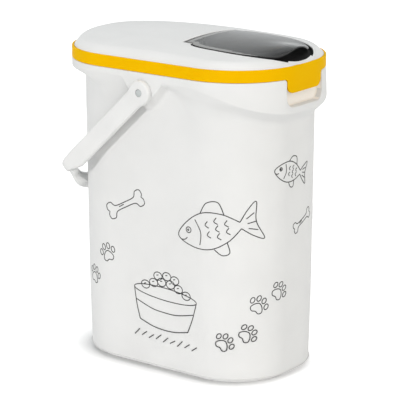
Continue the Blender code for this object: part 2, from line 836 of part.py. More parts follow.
def make_bail(mat):
    half = bail_line(bail_reach())
    whole = half + [(u, -y, -math.pi - h, s) for u, y, h, s in reversed(half[:-1])]
    rings = bail_rings(whole)
    count = len(rings[0])
    verts = [p for ring in rings for p in ring]
    faces = []
    for k in range(len(rings) - 1):
        for i in range(count):
            j = (i + 1) % count
            faces.append((k * count + i, k * count + j, (k + 1) * count + j, (k + 1) * count + i))
    faces.append(tuple(range(count)))
    faces.append(tuple(range((len(rings) - 1) * count, len(rings) * count)))
    bail = mesh_object("bail_handle", verts, faces, mat)
    bail.location = (PIVOT_X, 0.0, PIVOT_Z)
    for side, tag in ((1.0, "left"), (-1.0, "right")):
        hub = prism_y("bail_hub_" + tag, PIVOT_X, PIVOT_Z, HUB_RADIUS,
                      side * HUB_IN, side * HUB_OUT)
        boolean(bail, hub, 'UNION')
    for side, tag in ((1.0, "left"), (-1.0, "right")):
        wide = PIN_HEAD_RADIUS + GAP
        narrow = PIN_RADIUS + GAP
        step = HUB_OUT - PIN_SUNK - PIN_HEAD - GAP
        profile = [(narrow, side * (HUB_IN - GAP)), (narrow, side * step),
                   (wide, side * step), (wide, side * (HUB_OUT + ARM_THICK))]
        boolean(bail, lathe_y("hub_bore_" + tag, PIVOT_X, PIVOT_Z, profile), 'DIFFERENCE')
    return bail


def make_pins(mat):
    for side, tag in ((1.0, "left"), (-1.0, "right")):
        face = HUB_OUT - PIN_SUNK
        profile = [(PIN_RADIUS, side * (HUB_IN - PIN_DEEP)), (PIN_RADIUS, side * (face - PIN_HEAD)),
                   (PIN_HEAD_RADIUS, side * (face - PIN_HEAD)), (PIN_HEAD_RADIUS, side * face)]
        lathe_y("handle_pin_" + tag, PIVOT_X, PIVOT_Z, profile, mat)


def main():
    clear_scene()
    make_body(material("tub_white", (0.80, 0.80, 0.79), 0.42))
    make_ring(material("ring_yellow", (0.89, 0.48, 0.004), 0.38))
    make_cover(material("cover_white", (0.80, 0.80, 0.80), 0.40))
    make_lid_seal(material("seal_grey", (0.55, 0.55, 0.54), 0.7))
    make_flap(material("flap_smoke", (0.16, 0.16, 0.16), 0.18, 0.75))
    make_flap_seal(material("bead_dark", (0.03, 0.03, 0.03), 0.6))
    make_well(material("well_black", (0.012, 0.012, 0.012), 0.5))
    make_bail(material("bail_white", (0.80, 0.80, 0.79), 0.45))
    make_pins(material("pin_grey", (0.50, 0.53, 0.53), 0.4))


main()
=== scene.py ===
# %% [markdown]
# # A pet food bin, piece by piece
# The object is a moulded bin for dry pet food: a white tub, a yellow lid ring with a finger tab, a
# domed white cover, a smoky pour flap, and a white bail that swings on two pins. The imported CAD
# model gives the frame, which says where each piece sits and how it moves. In this lesson each
# piece is modelled again with rounder edges and a real finish, and set to ride on its body.

# %% Load the frame
import math

import bmesh
import bpy
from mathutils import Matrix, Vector


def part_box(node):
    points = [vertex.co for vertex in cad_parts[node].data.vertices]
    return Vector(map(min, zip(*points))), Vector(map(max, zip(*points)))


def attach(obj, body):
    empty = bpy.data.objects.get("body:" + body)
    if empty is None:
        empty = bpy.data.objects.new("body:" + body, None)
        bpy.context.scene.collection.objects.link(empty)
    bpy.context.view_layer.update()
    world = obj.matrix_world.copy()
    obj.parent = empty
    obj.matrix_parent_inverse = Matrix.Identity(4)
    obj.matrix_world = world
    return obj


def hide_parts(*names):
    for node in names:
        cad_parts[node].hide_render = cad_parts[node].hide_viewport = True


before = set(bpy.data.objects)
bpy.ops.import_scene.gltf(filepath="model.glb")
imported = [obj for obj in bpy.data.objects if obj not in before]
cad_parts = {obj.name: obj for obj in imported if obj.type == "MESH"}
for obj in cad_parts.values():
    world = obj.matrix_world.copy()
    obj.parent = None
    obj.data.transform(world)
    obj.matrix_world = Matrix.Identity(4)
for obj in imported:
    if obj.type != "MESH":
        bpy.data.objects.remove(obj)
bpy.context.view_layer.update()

# %% [markdown]
# ## Camera
# A product photograph is taken from far away with a long lens, so that upright edges stay nearly
# parallel. The aim point, the direction and the distance below put the lid, the collar and the foot
# where the photograph has them. A camera looks along its own -Z, so its Z axis is turned to point
# back from the aim to the lens.

# %% Camera at the photograph's angle
AIM = Vector((0.00199, 0.00149, 0.16957))
BACK = Vector((0.5784, -0.7728, 0.2610)).normalized()
DISTANCE = 2.1672
bpy.ops.object.select_all(action='DESELECT')
bpy.ops.object.camera_add(location=AIM + BACK * DISTANCE,
                          rotation=BACK.to_track_quat('Z', 'Y').to_euler())
camera = bpy.context.object
camera.data.lens = 182.44
camera.data.sensor_width = 36.0
bpy.context.scene.camera = camera
print("camera at", [round(c, 3) for c in camera.location])

# %% [markdown]
# ## Light and floor
# The photograph is high-key. A low key lights the long side and leaves a shadow beside the bail, a
# broad, slightly warm fill lights the pouring end, and a third lamp shines from above. All three are
# suns: a sun gives the same light everywhere, so the large floor stays even. The world is brighter
# behind the bin than in front of it, as a lit backdrop is, and the glossy flap mirrors it.

# %% World, suns and floor
def map_range(tree, source, span, result, smooth=False):
    """A Map Range node that takes one span of values to another."""
    node = tree.nodes.new("ShaderNodeMapRange")
    if smooth:
        node.interpolation_type = 'SMOOTHSTEP'
    for key, value in zip(("From Min", "From Max", "To Min", "To Max"), (*span, *result)):
        node.inputs[key].default_value = value
    tree.links.new(source, node.inputs["Value"])
    return node.outputs["Result"]


def soft_sun(name, azimuth, elevation, energy, spread, tint):
    """A sun that shines from that compass angle and height, in degrees."""
    a = math.radians(azimuth)
    e = math.radians(elevation)
    towards = Vector((math.cos(a) * math.cos(e), math.sin(a) * math.cos(e), math.sin(e)))
    bpy.ops.object.light_add(type='SUN', location=towards * 3.0,
                             rotation=towards.to_track_quat('Z', 'Y').to_euler())
    lamp = bpy.context.object
    lamp.name = name
    lamp.data.energy = energy
    lamp.data.color = tint
    lamp.data.angle = math.radians(spread)
    return lamp


bpy.context.scene.view_settings.view_transform = 'Standard'
world = bpy.data.worlds.new("studio")
world.use_nodes = True
bpy.context.scene.world = world
nodes = world.node_tree.nodes
links = world.node_tree.links
nodes["Background"].inputs["Color"].default_value = (0.97, 0.995, 1.0, 1.0)
toward = nodes.new("ShaderNodeTexCoord")
behind = nodes.new("ShaderNodeVectorMath")
behind.operation = 'DOT_PRODUCT'
behind.inputs[1].default_value = (-BACK.x, -BACK.y, 0.0)
links.new(toward.outputs["Generated"], behind.inputs[0])
backdrop = map_range(world.node_tree, behind.outputs["Value"], (0.0, 0.8), (0.42, 0.82), smooth=True)
links.new(backdrop, nodes["Background"].inputs["Strength"])

lamps = [soft_sun("key", -96.0, 14.0, 1.06, 7.0, (1.0, 0.99, 0.98)),
         soft_sun("fill", -14.0, 16.0, 1.50, 80.0, (1.0, 0.96, 0.90)),
         soft_sun("overhead", -90.0, 82.0, 0.62, 45.0, (1.0, 1.0, 1.0))]

bpy.ops.object.select_all(action='DESELECT')
bpy.ops.mesh.primitive_plane_add(size=24.0, location=(0.0, 0.0, -0.0002))
floor = bpy.context.object
floor.name = "studio_floor"
bpy.ops.object.transform_apply(location=True, rotation=True, scale=True)
print("lamps:", [lamp.name for lamp in lamps])

# %% [markdown]
# ## Finishes
# Every finish reads Object coordinates, so its grain has a real size in metres. Injection-moulded
# plastic is never one flat colour: it has a fine spark-eroded grain, slow changes of tone where the
# melt cooled, and a gloss that varies a little. Three noises do that: one for tone, one for gloss
# and one for the grain's bump.

# %% A helper for moulded plastic
def noise_on(mat, scale, detail):
    nodes = mat.node_tree.nodes
    where = nodes.get("Texture Coordinate") or nodes.new("ShaderNodeTexCoord")
    noise = nodes.new("ShaderNodeTexNoise")
    noise.inputs["Scale"].default_value = scale
    noise.inputs["Detail"].default_value = detail
    mat.node_tree.links.new(where.outputs["Object"], noise.inputs["Vector"])
    return noise.outputs["Fac"]


def two_tones(mat, noise, dark, light):
    ramp = mat.node_tree.nodes.new("ShaderNodeValToRGB")
    for stop, place, tone in zip(ramp.color_ramp.elements, (0.32, 0.68), (dark, light)):
        stop.position = place
        stop.color = (*tone, 1.0)
    mat.node_tree.links.new(noise, ramp.inputs["Fac"])
    return ramp.outputs["Color"]


def moulded(name, dark, light, gloss, grain, depth, extra=()):
    """Plastic of two near tones, a range of roughness, a grain of that scale and depth, and extras."""
    mat = bpy.data.materials.new(name)
    mat.use_nodes = True
    tree = mat.node_tree
    shader = tree.nodes["Principled BSDF"]
    tree.links.new(two_tones(mat, noise_on(mat, 22.0, 3.0), dark, light), shader.inputs["Base Color"])
    sheen = map_range(tree, noise_on(mat, 60.0, 4.0), (0.3, 0.7), gloss)
    tree.links.new(sheen, shader.inputs["Roughness"])
    bump = tree.nodes.new("ShaderNodeBump")
    bump.inputs["Strength"].default_value = 0.35
    bump.inputs["Distance"].default_value = depth
    tree.links.new(noise_on(mat, grain, 2.0), bump.inputs["Height"])
    tree.links.new(bump.outputs["Normal"], shader.inputs["Normal"])
    for key, value in extra:
        shader.inputs[key].default_value = value
    return mat


# %% The plastics of the bin
tub_white = moulded("tub_white", (0.735, 0.735, 0.731), (0.765, 0.765, 0.760), (0.36, 0.46), 1400.0, 0.00006,
                    (("Subsurface Weight", 0.08), ("Subsurface Radius", (0.003, 0.003, 0.0028))))
cover_white = moulded("cover_white", (0.75, 0.753, 0.752), (0.78, 0.783, 0.78), (0.28, 0.36), 1700.0, 0.00004)
bail_white = moulded("bail_white", (0.745, 0.746, 0.742), (0.782, 0.782, 0.777), (0.34, 0.44),
                     1500.0, 0.00005)
ring_yellow = moulded("ring_yellow", (0.815, 0.452, 0.0), (0.845, 0.475, 0.0), (0.40, 0.50), 1600.0, 0.00004,
                      (("Specular IOR Level", 0.015), ("Subsurface Weight", 0.25),
                       ("Subsurface Radius", (0.006, 0.003, 0.0002))))
well_black = moulded("well_black", (0.004, 0.004, 0.004), (0.008, 0.008, 0.008), (0.50, 0.60),
                     1800.0, 0.00005, (("Specular IOR Level", 0.08),))
# Painted light: a warmer, brighter white than the tub's, for light bounced into the pocket off the yellow
# tab.
pocket_painted_bounce = moulded("pocket_painted_bounce", (0.97, 0.93, 0.88), (0.985, 0.95, 0.90), (0.40, 0.50), 1400.0, 0.00005)
# Painted light: a white lighter than the tub's, which lifts the shaded foot under the overhang.
foot_painted_light = moulded("foot_painted_light", (0.80, 0.80, 0.80), (0.86, 0.86, 0.86), (0.55, 0.70), 900.0, 0.0001)
pin_grey = moulded("pin_grey", (0.46, 0.49, 0.49), (0.54, 0.57, 0.57), (0.38, 0.48), 1500.0, 0.00005)
seal_grey = moulded("seal_grey", (0.50, 0.50, 0.49), (0.57, 0.57, 0.56), (0.62, 0.74), 2200.0, 0.00006)
# Painted shade: dark grey for the shaded strip of white cover behind the flap's hinge.
hinge_painted_shade = moulded("hinge_painted_shade", (0.18, 0.18, 0.18), (0.22, 0.22, 0.22), (0.45, 0.55), 1600.0, 0.00005)
bead_dark = moulded("bead_dark", (0.030, 0.030, 0.030), (0.045, 0.045, 0.045), (0.58, 0.70), 2200.0, 0.00006)
ink_black = moulded("ink_black", (0.012, 0.012, 0.013), (0.030, 0.030, 0.031), (0.42, 0.58), 2600.0, 0.00001)
floor_white = moulded("floor_white", (0.90, 0.90, 0.90), (0.92, 0.92, 0.92), (0.80, 0.90), 300.0, 0.0001,
                      (("Emission Color", (1.0, 1.0, 1.0, 1.0)),))
floor.data.materials.append(floor_white)
print("whites:", [m.name for m in (tub_white, cover_white, bail_white, pocket_painted_bounce, floor_white)])

# %% [markdown]
# The flap is clear plastic with a smoke tint. Its border is painted solid grey, painted light for
# the lit white ledge that shows through the plastic there, and its upright edge is painted black,
# painted shade for the shaded gap beside it. Light from the lamps would stop at clear plastic, because
# a shadow ray does not bend, so a Transparent shader stands in for it on those rays alone.

# %% Smoke plastic, border and edge of the flap
FLAP_IOR = 1.45


def smoked(name, tint):
    """Clear plastic that lets this share of the light through."""
    mat = moulded(name, (tint, tint, tint), (tint * 1.08, tint * 1.08, tint * 1.07), (0.08, 0.14),
                  1200.0, 0.00002, (("Transmission Weight", 1.0), ("IOR", FLAP_IOR)))
    nodes = mat.node_tree.nodes
    links = mat.node_tree.links
    clear = nodes.new("ShaderNodeBsdfTransparent")
    clear.inputs["Color"].default_value = (math.sqrt(tint), math.sqrt(tint), math.sqrt(tint), 1.0)
    rays = nodes.new("ShaderNodeLightPath")
    either = nodes.new("ShaderNodeMixShader")
    links.new(rays.outputs["Is Shadow Ray"], either.inputs["Fac"])
    links.new(nodes["Principled BSDF"].outputs["BSDF"], either.inputs[1])
    links.new(clear.outputs["BSDF"], either.inputs[2])
    links.new(either.outputs["Shader"], nodes["Material Output"].inputs["Surface"])
    return mat


flap_smoke = smoked("flap_smoke", 0.20)
# Painted light: an opaque light grey for the lit white ledge seen through the smoky plate.
flap_border_painted_light = moulded("flap_border_painted_light", (0.24, 0.24, 0.237), (0.27, 0.27, 0.266), (0.10, 0.16), 1200.0, 0.00002,
                      (("IOR", FLAP_IOR),))
# Painted shade: near black for the shaded gap and the dark upright edge of the plate.
flap_edge_painted_shade = moulded("flap_edge_painted_shade", (0.010, 0.010, 0.011), (0.016, 0.016, 0.017), (0.14, 0.22), 1200.0, 0.00002)
print("flap finishes:", [m.name for m in (flap_smoke, flap_border_painted_light, flap_edge_painted_shade)])

# %% [markdown]
# ## Sizes
# The frame already holds the overall sizes, so they are read from its boxes. The lid is a rounded
# rectangle in plan. A helper walks once round it and keeps, for each place, the centre of the
# corner it belongs to and the way it faces. Any offset of the outline is then one short sum. Extra
# places stand close together at the front, where the finger tab has small round corners.

# %% Turns and smooth steps
def quarter(steps):
    return [math.pi / 2 * i / steps for i in range(steps + 1)]


def full_turn(steps):
    return [2.0 * math.pi * i / steps for i in range(steps)]


def fade(value, start, length):
    """0 before the start, then a smooth step up to 1 over the length."""
    t = min(1.0, max(0.0, (value - start) / length))
    return t * t * (3.0 - 2.0 * t)


print("smooth step:", [round(fade(i, 0, 4), 2) for i in range(5)])

# %% Overall sizes and the outline of the lid
HALF_L, HALF_W, BAND_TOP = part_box("lid_ring")[1]
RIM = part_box("bin_body")[1][2]
CORNER = 0.0758
BAND_LOW = RIM + 0.0003
TAB_HALF = 0.030
TAB_LOW = BAND_LOW - 0.015
TAB_ROUND = 0.009
ARC_STEPS = 24
SIDE_STEPS = 72
END_STEPS = 10
CLOSE_FROM = 0.0205
CLOSE_STEP = 0.0006
CLOSE_COUNT = 27
HAIR = 0.0001
APART = 0.01


def front_angles():
    """Turns of a front corner, close together where the tab's own corners are."""
    end = HALF_W - CORNER
    marks = [CLOSE_FROM + CLOSE_STEP * i for i in range(CLOSE_COUNT)]
    marks = [y for y in marks if abs(y - TAB_HALF) > 2 * HAIR]
    marks += [TAB_HALF - HAIR, TAB_HALF + HAIR]
    close = [math.asin((y - end) / CORNER) for y in sorted(marks)]
    wide = [a for a in quarter(ARC_STEPS) if not close[0] - APART < a < close[-1] + APART]
    return sorted(close + wide)


def outline_places():
    along = [1.0 - 2.0 * i / SIDE_STEPS for i in range(1, SIDE_STEPS)]
    across = [-1.0 + 2.0 * i / END_STEPS for i in range(1, END_STEPS)]
    front = front_angles()
    walk = [(1.0, f, 0.0) for f in across]
    walk += [(1.0, 1.0, a) for a in front]
    walk += [(f, 1.0, math.pi / 2) for f in along]
    walk += [(-1.0, 1.0, math.pi / 2 + a) for a in quarter(ARC_STEPS)]
    walk += [(-1.0, -f, math.pi) for f in across]
    walk += [(-1.0, -1.0, math.pi + a) for a in quarter(ARC_STEPS)]
    walk += [(-f, -1.0, 1.5 * math.pi) for f in along]
    walk += [(1.0, -1.0, 2.0 * math.pi - a) for a in reversed(front)]
    return walk


PLACES = outline_places()
print("outline of", len(PLACES), "points,", round(HALF_L * 2000, 1), "by", round(HALF_W * 2000, 1), "mm")

# %% Points of an offset outline
def around(half_l, half_w, corner, inset, shift=0.0):
    radius = corner - inset
    return [(fx * (half_l - corner) + radius * math.cos(a) + shift,
             fy * (half_w - corner) + radius * math.sin(a)) for fx, fy, a in PLACES]


def lid_line(inset):
    return around(HALF_L, HALF_W, CORNER, inset)


def inset_each(insets, z):
    """A ring whose inset from the lid's outline is its own at each place."""
    ring = []
    for (fx, fy, a), d in zip(PLACES, insets):
        ring.append((fx * (HALF_L - CORNER) + (CORNER - d) * math.cos(a),
                     fy * (HALF_W - CORNER) + (CORNER - d) * math.sin(a), z))
    return ring


def at_height(line, z):
    return [(x, y, z) for x, y in line]


def rim_gap(x, y):
    """How far a point in plan lies inside the lid's outline."""
    qx = abs(x) - (HALF_L - CORNER)
    qy = abs(y) - (HALF_W - CORNER)
    return CORNER - math.hypot(max(qx, 0.0), max(qy, 0.0)) - min(max(qx, qy), 0.0)


RIM_LINE = lid_line(0.0)
print("lid outline starts at", [round(c, 4) for c in RIM_LINE[0]])

# %% [markdown]
# ## Skinning a stack of outlines
# Most pieces here are walls that run once round: the tub, the ring, the cover, even the bail's
# channel along its own path. By hand you would add a circle, shape it, extrude it, shape it again,
# and go on. The helper does just that. The circle's points carry a number, and an extruded point
# keeps the number of the point that it came from, so each new loop can be set on its own outline.

# %% The skinning helper
def deselect():
    if bpy.context.object is not None and bpy.context.object.mode != 'OBJECT':
        bpy.ops.object.mode_set(mode='OBJECT')
    bpy.ops.object.select_all(action='DESELECT')


def pick(piece):
    """Make this the one selected object, and the active one."""
    deselect()
    piece.select_set(True)
    bpy.context.view_layer.objects.active = piece


def set_loop(piece, ring):
    bm = bmesh.from_edit_mesh(piece.data)
    number = bm.verts.layers.int["number"]
    for v in bm.verts:
        if v.select:
            v.co = ring[v[number]]
    bmesh.update_edit_mesh(piece.data)


def skin(name, rings, closed=False):
    """Extrude a circle through the rings; a closed stack joins its last ring to its first."""
    deselect()
    bpy.ops.mesh.primitive_circle_add(vertices=len(rings[0]))
    piece = bpy.context.object
    piece.name = name
    piece.data.name = name
    number = piece.data.attributes.new("number", 'INT', 'POINT')
    number.data.foreach_set("value", range(len(rings[0])))
    bpy.ops.object.mode_set(mode='EDIT')
    bpy.ops.mesh.select_mode(type='EDGE')
    bpy.ops.mesh.select_all(action='SELECT')
    set_loop(piece, rings[0])
    for ring in rings[1:] + (rings[:1] if closed else []):
        bpy.ops.mesh.extrude_region_move()
        set_loop(piece, ring)
    bpy.ops.mesh.select_all(action='SELECT')
    bpy.ops.mesh.remove_doubles(threshold=1e-6)
    if not closed:
        bpy.ops.mesh.fill_holes(sides=0)
    bpy.ops.mesh.select_all(action='SELECT')
    bpy.ops.mesh.normals_make_consistent(inside=False)
    bpy.ops.object.mode_set(mode='OBJECT')
    piece.data.attributes.remove(piece.data.attributes["number"])
    piece.location = (0.0, 0.0, 0.0)
    return piece


# %% Cutting, finishing and placing a piece
def use_modifier(piece, kind, **settings):
    pick(piece)
    bpy.ops.object.modifier_add(type=kind)
    mod = piece.modifiers[-1]
    for key, value in settings.items():
        setattr(mod, key, value)
    bpy.ops.object.modifier_apply(modifier=mod.name)


def cut(piece, tool):
    use_modifier(piece, 'BOOLEAN', operation='DIFFERENCE', solver='EXACT', object=tool)
    bpy.data.objects.remove(tool, do_unlink=True)


def outward(piece):
    pick(piece)
    bpy.ops.object.mode_set(mode='EDIT')
    bpy.ops.mesh.select_all(action='SELECT')
    bpy.ops.mesh.normals_make_consistent(inside=False)
    bpy.ops.object.mode_set(mode='OBJECT')


def settle(piece, finish, body, slot, *nodes, smooth=35.0):
    """Shade it, give it its finish, and hand it to its body in place of the CAD nodes."""
    pick(piece)
    bpy.ops.object.shade_smooth_by_angle(angle=math.radians(smooth))
    piece.data.materials.clear()
    piece.data.materials.append(finish)
    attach(piece, body)
    if nodes:
        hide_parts(*nodes)
    print(piece.name, "has", len(piece.data.polygons), "faces")


def second_finish(piece, finish, chosen):
    """Give a further finish to the faces for which chosen is true."""
    piece.data.materials.append(finish)
    faces = [face for face in piece.data.polygons if chosen(face)]
    for face in faces:
        face.material_index = len(piece.data.materials) - 1
    print(piece.name, "has", len(faces), "faces of", finish.name)


def round_over(radius, steps):
    """Quarter round: pairs of inset and drop, from the side face to the top face."""
    return [(radius * (1.0 - math.cos(a)), radius * (1.0 - math.sin(a))) for a in quarter(steps)]


def round_rings(x, z, profile, count=48):
    """Rings about a line along Y, from pairs of radius and y."""
    return [[(x + r * math.cos(a), y, z + r * math.sin(a)) for a in full_turn(count)] for r, y in profile]


# %% [markdown]
# ## The tub
# The tub is one thin moulding: a small inset foot, a wall that leans out by less than half a degree
# so that it leaves its mould, and a deep collar under the lid. The collar's lower edge dips at the
# two lugs that carry the bail, and sweeps down towards the front, where a pocket lets fingertips
# under the lid's tab. The stack goes up the outside, over the rim, and down the inside to the floor.

# %% Lines of the tub
WALL = 0.0022
DRAFT = 0.0077
COLLAR_STEP = 0.0106
TUB_CORNER = CORNER - 0.006
TUB_SHIFT = 0.002
COLLAR_EDGE = 0.00925
COLLAR_SLOPE = 0.007
TUB_TOP = RIM - COLLAR_EDGE - COLLAR_SLOPE
SWOOP_START = 0.2
SWOOP_POWER = 1.8
SWOOP_EDGE = 0.0265
SWOOP_FOOT = 0.0045
PIVOT = Vector((-0.004, 0.0, RIM - 0.02025))
LUG_RADIUS = 0.0127
LUG_FLANK = 0.0060
LUG_SLOPE = 1.1


def tub_line(inset, z):
    lean = DRAFT * (TUB_TOP - z)
    return around(HALF_L - COLLAR_STEP - lean, HALF_W - COLLAR_STEP - lean,
                  TUB_CORNER - lean, inset, TUB_SHIFT)


def on_wall(inset, z):
    return at_height(tub_line(inset, z), z)


def wall_ring(heights):
    """A ring on the leaning wall whose height is its own at each place."""
    return [(*tub_line(0.0, z)[i], z) for i, z in enumerate(heights)]


def swoop(x):
    return max(0.0, (x - SWOOP_START * HALF_L) / ((1.0 - SWOOP_START) * HALF_L)) ** SWOOP_POWER


def collar_lines(x):
    """Heights of the collar's lower edge and of its foot on the wall, at x."""
    ramp = swoop(x)
    edge = RIM - COLLAR_EDGE - SWOOP_EDGE * ramp
    foot = edge - COLLAR_SLOPE - SWOOP_FOOT * ramp
    away = abs(x - PIVOT.x)
    lug = PIVOT.z - math.sqrt(LUG_RADIUS ** 2 - min(away, LUG_FLANK) ** 2)
    lug += LUG_SLOPE * max(0.0, away - LUG_FLANK)
    return min(edge, lug), min(foot, lug - COLLAR_SLOPE)


print("pivot of the bail:", [round(c, 4) for c in PIVOT])

# %% [markdown]
# A little emission keeps the floor as white as lit paper. It must not glow under the bin, or there
# would be no shadow at the foot. So it grows with the distance from the tub's plan, a rounded
# rectangle: fold all four quarters on to one, take away the straight part, and the rest is a
# distance from the corner's centre. Only camera rays see the glow, because paper that lit the bin
# from below would wipe out the shade under the collar.

# %% Glow of the floor
GLOW_CENTRE = (-0.006, -0.006, 0.0)
GLOW_NONE = -0.015
GLOW_FULL = 0.022
GLOW_STRENGTH = 0.42
base_lean = DRAFT * TUB_TOP
base_corner = TUB_CORNER - base_lean
straight = (HALF_L - COLLAR_STEP - base_lean - base_corner,
            HALF_W - COLLAR_STEP - base_lean - base_corner, 1.0)
tree = floor_white.node_tree
spot = tree.nodes["Texture Coordinate"].outputs["Object"]
folds = (('SUBTRACT', GLOW_CENTRE), ('ABSOLUTE', None), ('SUBTRACT', straight),
         ('MAXIMUM', (0.0, 0.0, 0.0)), ('LENGTH', None))
for operation, value in folds:
    fold = tree.nodes.new("ShaderNodeVectorMath")
    fold.operation = operation
    if value:
        fold.inputs[1].default_value = value
    tree.links.new(spot, fold.inputs[0])
    spot = fold.outputs["Value" if operation == 'LENGTH' else "Vector"]
glow = map_range(tree, spot, (base_corner + GLOW_NONE, base_corner + GLOW_FULL), (0.0, GLOW_STRENGTH),
                 smooth=True)
rays = tree.nodes.new("ShaderNodeLightPath")
seen = tree.nodes.new("ShaderNodeMath")
seen.operation = 'MULTIPLY'
tree.links.new(glow, seen.inputs[0])
tree.links.new(rays.outputs["Is Camera Ray"], seen.inputs[1])
tree.links.new(seen.outputs["Value"], tree.nodes["Principled BSDF"].inputs["Emission Strength"])
print("floor glows beyond", round((base_corner + GLOW_FULL) * 1000, 1), "mm from the corner's centre")

# %% [markdown]
# The collar's underside is crisp at the lugs and at the two ends of the tub, and between them it
# melts into the wall. So its section comes in two forms, one with small rounds and one with large
# rounds, and each place on the outline takes a share of both.

# %% Mouth and collar of the tub
MOUTH_INSET = 0.0026
MOUTH_DEEP = 0.0065
BEHIND_POCKET = COLLAR_STEP - TUB_SHIFT + WALL + 0.0003
TURN_STEPS = 6


def mouth_inset(x, y):
    """The mouth follows the rim closely, but at the front it stays behind the pocket."""
    if x < 0.0:
        return MOUTH_INSET
    return BEHIND_POCKET + (MOUTH_INSET - BEHIND_POCKET) * fade(abs(y) / HALF_W, 0.4, 0.3)


def collar_profile(hollow, crest):
    """Section of the collar's underside: inset and height over its edge, with both corners round."""
    run = math.atan2(COLLAR_STEP, COLLAR_SLOPE)
    reach = math.tan(run / 2)
    turns = [run * i / TURN_STEPS for i in range(TURN_STEPS + 1)]
    section = [(COLLAR_STEP - hollow * (1.0 - math.cos(a)),
                hollow * (math.sin(a) - reach) - COLLAR_SLOPE) for a in turns]
    return section + [(crest * (1.0 - math.cos(a)), crest * (reach - math.sin(a))) for a in reversed(turns)]


def crispness(x):
    """How crisp the collar's edge is, from 0 to 1."""
    ahead = x - PIVOT.x
    off_lug = fade(ahead, 0.019, 0.042) if ahead > 0.0 else fade(-ahead, 0.003, 0.034)
    return max(1.0 - off_lug, fade(x, 0.070, 0.050), fade(-x, 0.062, 0.055))


MOUTH = [mouth_inset(x, y) for x, y in RIM_LINE]
print("mouth inset from", round(min(MOUTH), 4), "to", round(max(MOUTH), 4))

# %% Rings of the collar
SOFT_SECTION = collar_profile(0.013, 0.009)
CRISP_SECTION = collar_profile(0.006, 0.0018)
SOFT_DROP = 0.014
FRONT_FLARE = 0.0016
edges = [collar_lines(x) for x, _ in RIM_LINE]
crisp = [crispness(x) for x, _ in RIM_LINE]
flared = inset_each([-FRONT_FLARE * swoop(x) for x, _ in RIM_LINE], 0.0)


def collar_ring(soft, sharp):
    """One ring of the underside, between the wall and the flared edge at each place."""
    heights = []
    shares = []
    for c, (edge, foot) in zip(crisp, edges):
        inset, lift = (p + (q - p) * c for p, q in zip(soft, sharp))
        if lift < 0.0:
            lift = lift * (edge - foot + SOFT_DROP * (1.0 - c) ** 2) / COLLAR_SLOPE
        heights.append(edge + lift)
        shares.append(1.0 - inset / COLLAR_STEP)
    return [(x + (fx - x) * t, y + (fy - y) * t, z) for (x, y, z), (fx, fy, _), t
            in zip(wall_ring(heights), flared, shares)]


collar = [collar_ring(soft, sharp) for soft, sharp in zip(SOFT_SECTION, CRISP_SECTION)]
print("collar of", len(collar), "rings")

# %% Stack of the tub
FOOT_INSET = 0.008
FOOT_BREAK = 0.0008
FOOT_TOP = 0.005
FOOT_ROUND = 0.0011
WALL_START = 0.008
RIM_ROUND = 0.0006
MOUTH_BREAK = 0.0004
MOUTH_END = 0.0135
FLOOR_TOP = 0.0078
FLOOR_ROUND = 0.0075
rings = [on_wall(FOOT_INSET + FOOT_BREAK, 0.0), on_wall(FOOT_INSET, FOOT_BREAK),
         on_wall(FOOT_INSET, FOOT_TOP)]
rings += [on_wall(drop, FOOT_TOP + inset) for inset, drop in reversed(round_over(FOOT_ROUND, 5))]
for share in (0.25, 0.5, 0.75, 0.9):
    rings.append(wall_ring([WALL_START + (z - WALL_START) * share for _, _, z in collar[0]]))
rings += collar
rings += [at_height(lid_line(inset), RIM - drop) for inset, drop in round_over(RIM_ROUND, 4)]
rings += [inset_each([d - MOUTH_BREAK for d in MOUTH], RIM), inset_each(MOUTH, RIM - MOUTH_BREAK),
          inset_each(MOUTH, RIM - MOUTH_DEEP)]
rings += [on_wall(WALL, z) for z in (RIM - MOUTH_END, 0.20, 0.10)]
rings += [on_wall(WALL + inset, FLOOR_TOP + drop) for inset, drop in round_over(FLOOR_ROUND, 6)]
rings.append(on_wall(0.0102, 0.003))
tub = skin("tub", rings)
print("tub stack of", len(rings), "rings")

# %% [markdown]
# The pocket behind the tab is a rounded notch through the collar's outer wall. A cutter of that
# shape is skinned in a few rings, which shrink towards its back so that the notch gets a soft
# inner edge, and a Boolean takes it out of the tub. A bevel then softens the edges that it left on
# the collar's face.

# %% Pocket of the tub
POCKET_HALF = TAB_HALF + 0.001
POCKET_LOW = TAB_LOW - 0.0143
POCKET_BACK = HALF_L - 0.0085
POCKET_ROUND = 0.010
FLARE = 0.0033
OVER_RIM = 0.004
SHARP = math.radians(48.0)
BACK_ROUND = ((0.0018, 0.0), (0.0009, 0.00024), (0.00024, 0.0009), (0.0, 0.0018), (0.0, 0.03))


def pocket_outline(inset):
    half = POCKET_HALF - inset
    low = POCKET_LOW + inset
    bend = quarter(8)
    side = [(half + FLARE + inset, RIM + OVER_RIM), (half + FLARE, RIM)]
    side += [(half + FLARE * (1.0 - math.sin(a)), RIM - FLARE * (1.0 - math.cos(a))) for a in bend[1:]]
    radius = POCKET_ROUND - inset
    side += [(half - radius * (1.0 - math.cos(a)), low + radius * (1.0 - math.sin(a))) for a in bend]
    return side + [(-y, z) for y, z in reversed(side)]


def on_pocket_edge(edge):
    spot = (edge.verts[0].co + edge.verts[1].co) / 2
    near = spot.x > HALF_L - 0.006 and abs(spot.y) < 0.040 and POCKET_LOW - 0.001 < spot.z < RIM - 0.0035
    return near and len(edge.link_faces) == 2 and edge.calc_face_angle() > SHARP


cut(tub, skin("pocket_cutter", [[(POCKET_BACK + dx, y, z) for y, z in pocket_outline(inset)]
                                for inset, dx in BACK_ROUND]))
pick(tub)
bpy.ops.object.mode_set(mode='EDIT')
bpy.ops.mesh.select_mode(type='EDGE')
bpy.ops.mesh.select_all(action='DESELECT')
bm = bmesh.from_edit_mesh(tub.data)
for edge in bm.edges:
    if on_pocket_edge(edge):
        edge.select_set(True)
print("pocket edges to soften:", sum(1 for edge in bm.edges if edge.select))
bmesh.update_edit_mesh(tub.data)
bpy.ops.mesh.bevel(offset=0.0011, segments=4, affect='EDGES')
bpy.ops.object.mode_set(mode='OBJECT')
